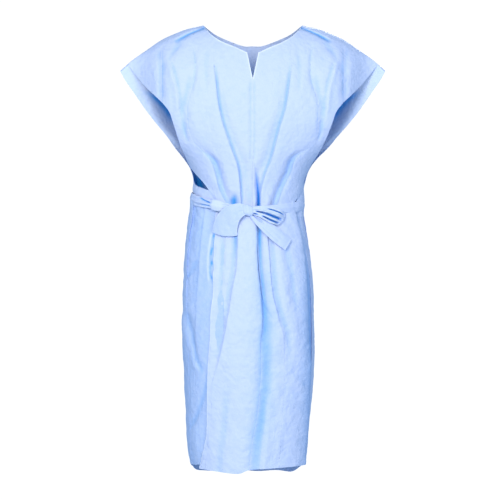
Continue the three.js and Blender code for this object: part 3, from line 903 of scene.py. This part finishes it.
def front_skirt_layout(drop_rows):
    """The angles and lifts of the box pleat and of the two soft pleats to its right."""
    width = half_width(drop_rows)
    lines = [
        angle_of(through(line, drop_rows), drop_rows)
        for line in (front_skirt_edge, box_pleat_left, box_pleat_right, second_pleat, side_pleat)
    ]
    lines.append(np.radians(np.full_like(drop_rows, 82.0)))
    fade = 1 - smooth(drop_rows, 0.76, 0.86)
    open_up = 1 - 0.45 * smooth(drop_rows, 0.55, 1.0)
    close = 1 - smooth(drop_rows, 0.64, 0.78)
    ease = 1 - smooth(drop_rows, 0.58, 0.84)
    # The side pleat, the last, hides more cloth than is known: it gives the panel part of its width.
    pleats = [
        ((0.030 * fade) / width, 0.0060 * fade, -1),
        (0.044 * ease / width, 0.0085 * ease, 1),
        (0.030 * open_up * close / width, 0.0055 * close, 1),
        (0.066 * open_up / width, 0.0036 + 0 * drop_rows, 1),
    ]
    return pleated(lines, pleats, (34, 34, 16, 44, 26), 8)


def beside(line, shift):
    """The same line moved to the side."""
    return tuple((place, value + shift) for place, value in line)


def front_skirt_folds(x, drop):
    """The broad hollows next to the pleats, and the soft folds below them."""
    relief = crease(x, drop, beside(box_pleat_left, -0.009), 0.0085, 0.0036, 0.40, 0.80, 0.05)
    relief = relief + crease(x, drop, beside(box_pleat_right, 0.0065), 0.0060, 0.0070, 0.36, 0.78, 0.20)
    relief = relief + crease(x, drop, beside(box_pleat_right, 0.012), 0.0200, 0.0065, 0.36, 1.10, 0.03)
    relief = relief + crease(x, drop, beside(second_pleat, 0.010), 0.0100, 0.0050, 0.36, 0.82, 0.16)
    relief = relief + crease(x, drop, beside(side_pleat, 0.004), 0.0070, 0.0030, 0.36, 1.10, 0.03)
    relief = relief + crease(
        x, drop, ((0.48, 0.064), (0.56, 0.082), (0.66, 0.098)), 0.010, 0.0035, 0.47, 0.70, 0.06
    )
    relief = relief + crease(
        x, drop, ((0.810, 0.060), (0.835, 0.090), (0.866, 0.1187)), 0.014, -0.0022, 0.80, 0.90, 0.04
    )
    relief = relief + crease(
        x, drop, ((0.880, 0.040), (0.960, 0.032), (1.05, 0.024)), 0.007, -0.0040, 0.86, 1.10, 0.03
    )
    relief = relief + crease(
        x, drop, ((0.490, -0.070), (0.60, -0.073), (0.74, -0.086)), 0.008, 0.0032, 0.46, 0.76, 0.06
    )
    relief = relief + crease(
        x, drop, ((0.860, -0.060), (0.98, -0.070), (1.05, -0.078)), 0.012, 0.0022, 0.84, 1.10, 0.06
    )
    return relief - 0.0035 * smooth(x, 0.11, 0.14) * smooth(drop, 0.52, 0.62) * (1 - smooth(drop, 0.74, 0.85))


def skirt_rows(top, bottom, count):
    """Rows of drops from the top edge to the bottom edge, column by column."""
    return np.linspace(0, 1, count)[:, None] * (bottom - top)[None, :] + top[None, :]


def front_skirt_patch(top_row, bottom_row, count, stand=0.0):
    """The front skirt between two heights, each from 0 at the belt to 1 at the hem."""
    base = np.linspace(0.38, 1.08, 900)
    table_angle, table_lift = front_skirt_layout(base)
    foot_x = centre_x(1.05) + half_width(np.array(1.05)) * np.sin(table_angle[860])
    belt = through(belt_line, table_angle[60]) - 0.004
    hem = through(front_hem_line, foot_x)
    drop = skirt_rows(belt + (hem - belt) * top_row, belt + (hem - belt) * bottom_row, count)
    angle = np.stack([np.interp(drop[:, c], base, table_angle[:, c]) for c in range(drop.shape[1])], axis=1)
    lift = np.stack([np.interp(drop[:, c], base, table_lift[:, c]) for c in range(drop.shape[1])], axis=1)
    x = centre_x(drop) + half_width(drop) * np.sin(angle)
    folds = lift + front_skirt_folds(x, drop)
    relief = folds + 1.5 * loose(x, drop, 1 - smooth(drop, 0.42, 0.56), 23)
    free = np.exp(-((x - through(front_skirt_edge, drop)) / 0.012) ** 2)
    relief = relief + free * (
        0.0025 * waves(drop / 0.019, 0 * drop, 31) * (1 - smooth(drop, 0.60, 0.66)) + 0.0012
    )
    points = on_form(
        angle, drop,
        (0.0036 + relief) * (1 - 0.55 * smooth(angle, math.radians(66), math.radians(81))) + stand
    )
    # The free edge gets a painted highlight. Painted shade: dark pockets beside the box pleat, a broad band
    # to its right, and deeper blue towards the right side where the cloth turns away.
    edge_tone_and_highlight = 0.35 * np.exp(-((x - through(front_skirt_edge, drop)) / 0.0018) ** 2)
    pocket_shade = crease(x, drop, beside(box_pleat_right, 0.0045), 0.0065, -0.70, 0.40, 0.58, 0.12)
    pocket_shade = pocket_shade + crease(x, drop, beside(box_pleat_left, -0.004), 0.0050, -0.50, 0.40, 0.56, 0.08)
    pocket_shade = pocket_shade + crease(x, drop, beside(box_pleat_right, 0.008), 0.0230, -0.20, 0.52, 1.04, 0.10)
    side_shade = 0.42 * smooth(x, 0.092, 0.150) * smooth(drop, 0.45, 0.60)
    return points, np.clip(painted_fold_shade(folds, 20, 0.0044, most=0.75) + pocket_shade + side_shade, 0, 1), edge_tone_and_highlight


hem_share = 0.0115
front_skirt = sheet_mesh("front_skirt_cloth", [front_skirt_patch(0, 1 - 0.3 * hem_share, 190)], [gown_cloth])
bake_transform(front_skirt)
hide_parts("front_skirt_upper", "front_skirt_lower")
front_hem = sheet_mesh(
    "front_hem_fold", [front_skirt_patch(1 - hem_share, 1, 6)], [gown_cloth], thickness=0.0019
)
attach(front_hem, "front_skirt")
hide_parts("front_hem")

# Back skirt: the back panel from the belt down. It goes round the right side, the back and the left
# side, and its free edge is hidden under the front panel. Its lower corner rounds up at the left.
wrap_fold_upper = ((0.656, -0.155), (0.715, -0.1456), (0.781, -0.1315), (0.814, -0.118))
wrap_fold_lower = ((0.805, -0.100), (0.861, -0.1114), (0.906, -0.1267), (0.951, -0.1433))
side_crease = ((0.557, -0.1315), (0.583, -0.1433), (0.597, -0.157))


def back_skirt_layout(drop_rows):
    """Angles run from 75 degrees at the right, round the back, to 338 degrees."""
    starts = (96, 118, 140, 160, 180, 200, 220, 242, 266, 290, 308)
    lines, pleats = [np.radians(75.0 - 5.0 * (1 - smooth(drop_rows, 0.46, 0.60)))], []
    for number, place in enumerate(starts):
        sway = 3.0 * np.sin(drop_rows * (7 + number % 3) + number * 1.7)
        lines.append(np.radians(place + sway * smooth(drop_rows, 0.45, 0.8)))
        reach = 0.62 + 0.11 * ((number * 5) % 4)
        stay = 1 - smooth(drop_rows, 0.46, reach)
        pleats.append(((0.0012 + 0.010 * stay) / 0.14, 0.0008 + 0.0042 * stay, 1 if number % 2 else -1))
    lines.append(np.radians(np.full_like(drop_rows, 338.0)))
    return pleated(lines, pleats, (18,) + (20,) * 10 + (24,), 4)


def back_skirt_folds(x, turn, drop):
    """Soft waves all round, and the creases where the panel wraps to the front at the left."""
    relief = 0.0024 * waves(turn / 0.45 + 3, drop / 0.14, 48)
    front = (np.cos(turn) > -0.2) & (np.sin(turn) < 0)
    folds = crease(x, drop, wrap_fold_upper, 0.007, 0.0032, 0.66, 0.83, 0.03)
    folds = folds + crease(x + 0.011, drop, wrap_fold_upper, 0.007, -0.0022, 0.66, 0.83, 0.03)
    folds = folds + crease(x, drop, wrap_fold_lower, 0.007, 0.0030, 0.80, 0.96, 0.03)
    folds = folds + crease(x, drop, side_crease, 0.006, 0.0018, 0.55, 0.60, 0.01)
    return relief + folds * front


def back_skirt_patch(top_row, bottom_row, count, stand=0.0):
    """The back skirt between two heights, each from 0 at the belt to 1 at the hem."""
    base = np.linspace(0.38, 1.08, 900)
    table_angle, table_lift = back_skirt_layout(base)
    around = table_angle[60]
    around = np.where(around > np.pi, around - 2 * np.pi, around)
    belt = through(belt_line, around) - 0.004
    foot = table_angle[860]
    corner = smooth(
        foot, math.radians(225), math.radians(285)
    ) + 1 - smooth(foot, math.radians(95), math.radians(135))
    hem = 1.055 - 0.023 * corner + 0.0015 * np.sin(foot * 9)
    drop = skirt_rows(belt + (hem - belt) * top_row, belt + (hem - belt) * bottom_row, count)
    turn = np.stack([np.interp(drop[:, c], base, table_angle[:, c]) for c in range(drop.shape[1])], axis=1)
    lift = np.stack([np.interp(drop[:, c], base, table_lift[:, c]) for c in range(drop.shape[1])], axis=1)
    x = centre_x(drop) + half_width(drop) * np.sin(turn)
    folds = lift + back_skirt_folds(x, turn, drop)
    relief = folds + 1.2 * loose(turn * 0.14, drop, 0.6 - 0.6 * smooth(drop, 0.42, 0.60), 43)
    left = smooth(turn, math.radians(240), math.radians(268)) * (
        1 - smooth(turn, math.radians(300), math.radians(320))
    )
    relief = relief + left * through(
        (
            (0.43, 0.006), (0.505, 0.006), (0.60, 0.002), (0.72, -0.001), (0.90, 0.002), (0.97, 0.005),
            (1.01, 0.004), (1.05, -0.004)
        ),
        drop
    )
    under_front = smooth(turn, math.radians(300), math.radians(322))
    relief = relief * smooth(turn, math.radians(76), math.radians(94))
    points = on_form(
        turn, drop,
        0.001 - 0.004 * under_front * (1 - smooth(drop, 0.44, 0.5)) + relief * (1 - 0.75 * under_front)
        + stand
    )
    # Painted shade: deeper blue on the left where the panel turns away, and a dark trench by the front
    # panel's edge. pale is a painted highlight on the ridge beside it.
    turned_away_shade = 0.20 * smooth(turn, math.radians(240), math.radians(275))
    front = (np.cos(turn) > 0) & (np.sin(turn) < 0)
    trench_shade = crease(
        x + 0.0035 * waves(drop / 0.014, 0 * drop, 47), drop,
        ((0.480, -0.087), (0.5475, -0.0965), (0.592, -0.0960), (0.62, -0.0925)), 0.0032, -0.62, 0.478,
        0.612, 0.02
    ) * front
    trench_shade = trench_shade * (0.70 + 0.7 * waves(drop / 0.008 + 3, x / 0.004, 49))
    pale = crease(
        x, drop, ((0.480, -0.094), (0.5475, -0.1035), (0.592, -0.103), (0.62, -0.100)), 0.0022, -0.6, 0.478,
        0.612, 0.02
    ) * front
    return points, np.clip(painted_fold_shade(folds, 20, 0.0050) + turned_away_shade + trench_shade, 0, 1), np.clip(pale, 0, 1)


back_skirt = sheet_mesh(
    "back_skirt_cloth", [back_skirt_patch(0, 1 - 0.3 * hem_share, 144)], [gown_cloth, inside_cloth_lightened],
    facing=(0, 1, 0)
)
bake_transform(back_skirt)
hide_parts("back_skirt_upper", "back_skirt_lower")
back_hem = sheet_mesh(
    "back_hem_fold", [back_skirt_patch(1 - hem_share, 1, 6)], [gown_cloth], thickness=0.0019,
    facing=(0, 1, 0)
)
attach(back_hem, "back_skirt")
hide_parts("back_hem")

# Belt: one long ribbon of the same cloth tied round the waist over both panels. It is flat at the
# back, and bunched into lengthwise folds on the way to the knot.
belt_cloth = nonwoven(
    "belt_cloth", (0.655, 0.73, 0.965), (0.0, 0.29, 0.72), (0.95, 0.98, 1.0), 0.08, 0.8, 0.8
)
belt_width_line = (
    (-3.1416, 0.030), (-1.6, 0.028), (-0.95, 0.022), (-0.72, 0.019), (-0.65, 0.024), (-0.50, 0.025),
    (-0.42, 0.021), (-0.18, 0.018), (0.05, 0.016),
    (0.3, 0.020), (0.9, 0.024), (1.6, 0.028), (3.1416, 0.030),
)


def belt_patch():
    """The ribbon once round the waist, with its slits and its turned-over part left of the knot."""
    columns, rows = 420, 30
    turn = np.linspace(-np.pi, np.pi, columns)[None, :]
    across = np.linspace(-1, 1, rows)[:, None]
    width = through(belt_width_line, turn)
    bunch = np.exp(-((turn + 0.1) / 1.2) ** 2)
    drop = through(belt_line, turn) + across * width / 2
    ripple = np.cos(across * 6.5 + 0.7 * np.sin(turn * 2.3)) * (0.0006 + 0.0022 * bunch)
    ripple = ripple + 0.0012 * waves(
        turn / 0.12 + 5, across * 1.6 + 20, 51
    ) + 0.0006 * waves(turn / 0.05 + 5, across * 3 + 20, 53)
    crown = 0.0018 * (1 - across ** 2) - 0.0030 * across ** 4
    slit_line = through(((-1.05, -0.95), (-0.98, -0.85), (-0.70, -0.40)), turn)
    slit = np.exp(
        -((across - slit_line) / 0.20) ** 2
    ) * smooth(turn, -1.04, -0.93) * (1 - smooth(turn, -0.74, -0.69))
    slit = slit + 0.8 * np.exp(
        -((across - 0.35) / 0.16) ** 2
    ) * smooth(turn, -0.98, -0.86) * (1 - smooth(turn, -0.73, -0.69))
    turned = smooth(turn + 0.02 * across, -0.695, -0.655) * (1 - smooth(turn, -0.52, -0.38)) + 0 * across
    crown = crown - 0.0035 * slit + 0.0022 * turned
    ripple = 0.7 * ripple * (1 - 0.8 * turned) * (1 - 0.75 * smooth(turn, 0.35, 0.6))
    stand = through(
        (
            (-3.1416, 0.008), (-1.6, 0.0085), (-0.6, 0.0105), (0.5, 0.0105), (0.95, 0.0050), (1.6, 0.0030),
            (2.2, 0.005), (3.1416, 0.008)
        ),
        turn
    )
    out = stand + 0.002 * bunch + ripple + crown
    points = on_form(turn + 0 * across, np.maximum(drop, 0.405), out)
    points[..., 2] = -drop
    # The borders and the turned-over part left of the knot get a painted highlight; the slits are darkened
    # with painted shade as well as dipped.
    edge_tone_and_highlight = np.maximum(np.exp(-(((1 - np.abs(across)) / 0.10) ** 2)) * 0.2, 0.22 * turned)
    return points, np.clip(painted_fold_shade(ripple, 6, 0.004, most=0.4) + slit, 0, 1), edge_tone_and_highlight


belt = sheet_mesh(
    "waist_belt_ribbon", [belt_patch()], [belt_cloth], thickness=0.0009, facing=(0, 0, 0), join=True
)
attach(belt, "gown")
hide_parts("waist_belt")

# Bow: the two ends of the belt, tied a little left of the centre. A tight knot, a broad soft loop
# that hangs to the left, a smaller loop of creased folds on the right, and the two loose ends.


def skirt_front(x, drop, out):
    """How far forward the skirt's front lies here."""
    level = np.maximum(drop, 0.424)
    width, depth = half_width(level) + out, half_depth(level, 0.112) + out
    return depth * np.sqrt(np.clip(1 - ((x - waist_shift) / width) ** 2, 0.02, 1))


def ribbon_patch(
    upper, lower, stands, folds, rows=60, columns=90, seed=60, under=None, end_bulge=0.0, shade=0.0
):
    """A length of ribbon between an upper and a lower rail of (x, drop) places.

    stands gives how far it stands off the skirt along its length, and folds its lengthwise creases as
    (place across, half width, depth, start, end). With under, the ribbon turns at its far end and
    comes back beneath itself, standing off by that much. shade deepens the whole length a little."""
    travel = np.linspace(0, 2 if under else 1, columns)[None, :]
    there = 1 - np.abs(1 - travel) if under else travel
    across = np.linspace(0, 1, rows)[:, None]
    marks = np.linspace(0, 1, len(upper))
    top = [through(tuple(zip(marks, [p[k] for p in upper])), there) for k in (0, 1)]
    marks = np.linspace(0, 1, len(lower))
    foot = [through(tuple(zip(marks, [p[k] for p in lower])), there) for k in (0, 1)]
    x = top[0] * (1 - across) + foot[0] * across
    drop = top[1] * (1 - across) + foot[1] * across
    stand = through(stands, there)
    if under:
        turn = np.sqrt(np.clip(1 - there, 0, 1))
        stand_under = through(under, there)
        middle = (stand + stand_under) / 2
        half = (stand - stand_under) / 2 * np.minimum(1, turn * 2.4)
        stand = middle + np.where(travel <= 1, half, -half)
    stand = stand + 0 * across
    bulge = end_bulge * np.sin(np.pi * across) ** 0.8 * there ** 3
    x = x + bulge * (upper[-1][0] + lower[-1][0] - upper[0][0] - lower[0][0]) / 2
    drop = drop + bulge * (upper[-1][1] + lower[-1][1] - upper[0][1] - lower[0][1]) / 2
    crown = np.zeros_like(x)
    for place, width, depth, start, end in folds:
        along = smooth(there, start, start + 0.12) * (1 - smooth(there, end - 0.15, end))
        if under:
            along = along * np.where(travel <= 1, 1, 0.35)
        crown = crown - depth * along * np.exp(-(((across - place) / width) ** 2))
    crown = crown + 0.0007 * waves(x / 0.012, drop / 0.012, seed) + 0.0006 * waves(
        across * 5 + 9, there * 4, seed + 1
    )
    rounded = -0.0022 * (2 * across - 1) ** 4
    y = -(skirt_front(x, drop, 0.0) + stand + crown + rounded)
    points = np.stack([x, y, -drop], axis=-1)
    # Painted highlights along both borders, beside each deep crease and at the far end; painted shade in the
    # deep creases' slits.
    edge_tone_and_highlight = np.exp(-(((0.5 - np.abs(across - 0.5)) / 0.035) ** 2)) * 0.3 + 0 * x
    slit_shade = 0 * x
    for place, width, depth, start, end in folds:
        if depth > 0.008:
            shine = np.exp(
                -(((across - place + 1.5 * width) / 0.035) ** 2)
            ) + np.exp(-(((across - place - 1.5 * width) / 0.035) ** 2))
            edge_tone_and_highlight = np.maximum(
                edge_tone_and_highlight, 0.85 * shine * smooth(there, start, start + 0.12) * (1 - smooth(there, 0.75, 1.0))
            )
            slit = np.exp(
                -np.abs((across - place) / (0.85 * width)) ** 3
            ) * smooth(there, start, start + 0.10) * (1 - smooth(there, end - 0.22, end))
            slit_shade = np.maximum(slit_shade, slit)
    if not under:
        edge_tone_and_highlight = np.maximum(edge_tone_and_highlight, np.exp(-(((1 - there) / 0.02) ** 2)) * 0.4 + 0 * x)
    return points, np.clip(painted_fold_shade(crown, 6, 0.004, most=0.35) + shade + slit_shade, 0, 1), edge_tone_and_highlight * (1 - slit_shade)


loop_left = sheet_mesh("bow_loop_left_ribbon", [ribbon_patch(
    (
        (-0.012, 0.4265), (-0.030, 0.4205), (-0.050, 0.4235), (-0.068, 0.4320), (-0.081, 0.4465),
        (-0.090, 0.4660), (-0.095, 0.4870)
    ),
    (
        (-0.014, 0.4440), (-0.021, 0.4495), (-0.029, 0.4565), (-0.034, 0.4680), (-0.036, 0.4810),
        (-0.0375, 0.4960)
    ),
    ((0, 0.026), (0.35, 0.027), (0.75, 0.018), (1.0, 0.0125)),
    ((0.30, 0.10, 0.0012, -0.1, 0.45), (0.62, 0.10, 0.0014, -0.1, 0.55), (0.86, 0.06, 0.0012, -0.1, 0.4)),
    under=((0, 0.016), (0.5, 0.012), (1.0, 0.009)), columns=130, seed=61, end_bulge=0.09, shade=0.07,
)], [belt_cloth], thickness=0.0009)
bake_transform(loop_left)
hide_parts("bow_loop_left")

loop_right = sheet_mesh("bow_loop_right_ribbon", [ribbon_patch(
    ((-0.004, 0.4290), (0.018, 0.4262), (0.042, 0.4275), (0.062, 0.4330), (0.076, 0.4420)),
    ((-0.004, 0.4440), (0.018, 0.4525), (0.040, 0.4650), (0.059, 0.4720)),
    ((0, 0.026), (0.4, 0.030), (0.8, 0.024), (1.0, 0.016)),
    (
        (0.20, 0.055, 0.0090, 0.42, 1.02), (0.57, 0.095, 0.0170, 0.12, 1.02),
        (0.84, 0.070, 0.0150, 0.34, 1.0), (0.85, 0.10, 0.0085, -0.05, 0.30), (0.40, 0.03, 0.0025, 0.0, 0.5)
    ),
    under=((0, 0.014), (0.5, 0.009), (1.0, 0.009)), columns=130, rows=110, seed=65, end_bulge=0.06,
)], [belt_cloth], thickness=0.0009)
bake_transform(loop_right)
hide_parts("bow_loop_right")

tail_right = sheet_mesh("belt_tail_right_ribbon", [ribbon_patch(
    ((-0.0080, 0.4385), (0.017, 0.4525), (0.038, 0.4640), (0.062, 0.4800), (0.0900, 0.5050)),
    ((-0.0090, 0.4480), (0.0050, 0.4660), (0.0200, 0.4825), (0.045, 0.5060), (0.0755, 0.5290)),
    ((0, 0.020), (0.3, 0.019), (0.7, 0.0165), (1.0, 0.0150)),
    ((0.34, 0.11, 0.0060, -0.1, 0.50), (0.72, 0.10, 0.0015, 0.2, 0.9)), seed=69,
)], [belt_cloth], thickness=0.0009)
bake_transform(tail_right)
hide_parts("belt_tail_right")

tail_left = sheet_mesh("belt_tail_left_ribbon", [ribbon_patch(
    ((-0.018, 0.4460), (-0.030, 0.4600), (-0.045, 0.4760), (-0.058, 0.4890)),
    ((-0.012, 0.4540), (-0.018, 0.4680), (-0.027, 0.4830), (-0.036, 0.4960)),
    ((0, 0.013), (0.5, 0.0095), (1.0, 0.0085)),
    ((0.5, 0.12, 0.0012, -0.1, 0.8),), columns=50, seed=73,
)], [belt_cloth], thickness=0.0009)
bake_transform(tail_left)
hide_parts("belt_tail_left")


def knot_mesh():
    """The ribbon drawn tight over itself: a small rounded band with creases that wrap round it."""
    rings, sides = 41, 72
    along = np.linspace(-1, 1, rings)[:, None]
    turn = np.linspace(0, 2 * np.pi, sides, endpoint=False)[None, :]
    round_off = (1 - np.abs(along) ** 3.2) ** 0.45
    wrap = 1 + 0.022 * np.cos(along * 7 + 1.2 * np.sin(turn)) + 0.012 * np.cos(along * 13 + turn * 2)
    wide, tall, deep = 0.0128, 0.0130, 0.0072
    x = -0.0110 + wide * along * (1 + 0.06 * np.cos(turn)) + 0 * turn
    z = -0.4365 + tall * round_off * wrap * np.sin(turn) - 0.0025 * along
    y = -0.1165 - deep * round_off * wrap * np.sign(np.cos(turn)) * np.abs(np.cos(turn)) ** 0.8
    grid = np.stack([x, y, z], axis=-1)
    index = np.arange(rings * sides).reshape(rings, sides)
    index = np.concatenate([index, index[:, :1]], axis=1)
    faces = np.stack(
        [index[:-1, :-1], index[:-1, 1:], index[1:, 1:], index[1:, :-1]], axis=-1
    ).reshape(-1, 4).tolist()
    mesh = bpy.data.meshes.new("belt_knot_wrap")
    mesh.from_pydata(grid.reshape(-1, 3).tolist(), [], faces)
    for label in ("fold_shade", "edge"):
        mesh.attributes.new(label, "FLOAT", "POINT")
    # Painted shade in the creases of the wraps.
    depth = 0.15 * np.clip((1.0 - wrap) / 0.04, 0, 1) + 0 * x
    mesh.attributes["fold_shade"].data.foreach_set("value", depth.reshape(-1).astype(np.float32))
    mesh.materials.append(belt_cloth)
    piece = bpy.data.objects.new("belt_knot_wrap", mesh)
    bpy.context.scene.collection.objects.link(piece)
    bpy.ops.object.select_all(action="DESELECT")
    piece.select_set(True)
    bpy.context.view_layer.objects.active = piece
    bpy.ops.object.mode_set(mode="EDIT")
    bpy.ops.mesh.select_all(action="SELECT")
    bpy.ops.mesh.remove_doubles(threshold=0.00005)
    bpy.ops.mesh.normals_make_consistent(inside=False)
    bpy.ops.object.mode_set(mode="OBJECT")
    bpy.ops.object.shade_smooth_by_angle(angle=math.radians(65))
    return piece


knot = knot_mesh()
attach(knot, "gown")
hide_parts("belt_knot")

# Stage: a plain pale floor that curves up into a backdrop all the way round, well clear of the gown.
# It glows evenly, so that it looks pale by itself and fills the shade with a soft blue light.
stage_white = bpy.data.materials.new("stage_white")
stage_white.use_nodes = True
white = stage_white.node_tree.nodes["Principled BSDF"]
white.inputs["Base Color"].default_value = (0.05, 0.05, 0.05, 1)
white.inputs["Roughness"].default_value = 0.9
path = stage_white.node_tree.nodes.new("ShaderNodeLightPath")
bright = stage_white.node_tree.nodes.new("ShaderNodeMapRange")
bright.inputs["To Min"].default_value = 0.54
bright.inputs["To Max"].default_value = 1.02
stage_white.node_tree.links.new(path.outputs["Is Camera Ray"], bright.inputs["Value"])
stage_white.node_tree.links.new(bright.outputs[0], white.inputs["Emission Strength"])
tone = stage_white.node_tree.nodes.new("ShaderNodeMix")
tone.data_type = "RGBA"
tone.inputs["A"].default_value = (0.39, 0.655, 1.0, 1)
tone.inputs["B"].default_value = (1, 1, 1, 1)
stage_white.node_tree.links.new(path.outputs["Is Camera Ray"], tone.inputs["Factor"])
stage_white.node_tree.links.new(tone.outputs["Result"], white.inputs["Emission Color"])
profile = [(0.01, -1.6)] + [
    (16 + 3 * math.sin(a), -1.6 + 3 - 3 * math.cos(a)) for a in np.linspace(0, math.pi / 2, 10)
] + [(19, 14)]
rings = 64
points = [
    (r * math.cos(t), r * math.sin(t), z) for r, z in profile
    for t in np.linspace(0, 2 * math.pi, rings, endpoint=False)
]
faces = [
    (k * rings + j, k * rings + (j + 1) % rings, (k + 1) * rings + (j + 1) % rings, (k + 1) * rings + j)
    for k in range(len(profile) - 1) for j in range(rings)
]
faces.append(tuple(range(rings)))
bowl_mesh = bpy.data.meshes.new("studio_floor")
bowl_mesh.from_pydata(points, [], faces)
bowl_mesh.materials.append(stage_white)
bowl = bpy.data.objects.new("studio_floor", bowl_mesh)
bpy.context.scene.collection.objects.link(bowl)
for polygon in bowl_mesh.polygons:
    polygon.use_smooth = True

# Light: a large soft box in front, above and to the left, a weaker one to the right, one behind the
# gown for its back, and an even pale room.
world = bpy.data.worlds.new("studio_room")
bpy.context.scene.world = world
world.use_nodes = True
world.node_tree.nodes["Background"].inputs["Color"].default_value = (0.39, 0.655, 1.0, 1)
world.node_tree.nodes["Background"].inputs["Strength"].default_value = 0.54


def soft_box(name, place, target, size, watts, tone=(1, 1, 1)):
    data = bpy.data.lights.new(name, "AREA")
    data.shape = "RECTANGLE"
    data.size, data.size_y = size
    data.energy = watts
    data.color = tone
    light = bpy.data.objects.new(name, data)
    light.location = place
    light.rotation_euler = (Vector(target) - Vector(place)).to_track_quat("-Z", "Y").to_euler()
    bpy.context.scene.collection.objects.link(light)
    return light


soft_box("key_light", (-1.4, -4.1, 0.75), (0, 0, -0.5), (1.5, 1.5), 108, (1.0, 0.96, 0.89))
soft_box("fill_light", (1.6, -4.0, -0.1), (0, 0, -0.5), (1.8, 1.8), 52, (0.94, 0.96, 1.0))
soft_box("back_light", (0.6, 3.4, 1.2), (0, 0, -0.5), (1.6, 1.6), 95, (1.0, 0.97, 0.93))

# Camera: level, straight on to the front, far away behind a long lens.
camera_data = bpy.data.cameras.new("front_camera")
camera_data.sensor_width = 36
camera_data.lens = 300
camera_data.clip_end = 60
camera = bpy.data.objects.new("front_camera", camera_data)
camera.location = (-0.0065, -9.833, -0.529)
camera.rotation_euler = (math.radians(90), 0, 0)
bpy.context.scene.collection.objects.link(camera)
bpy.context.scene.camera = camera
bpy.context.scene.view_settings.view_transform = "Standard"
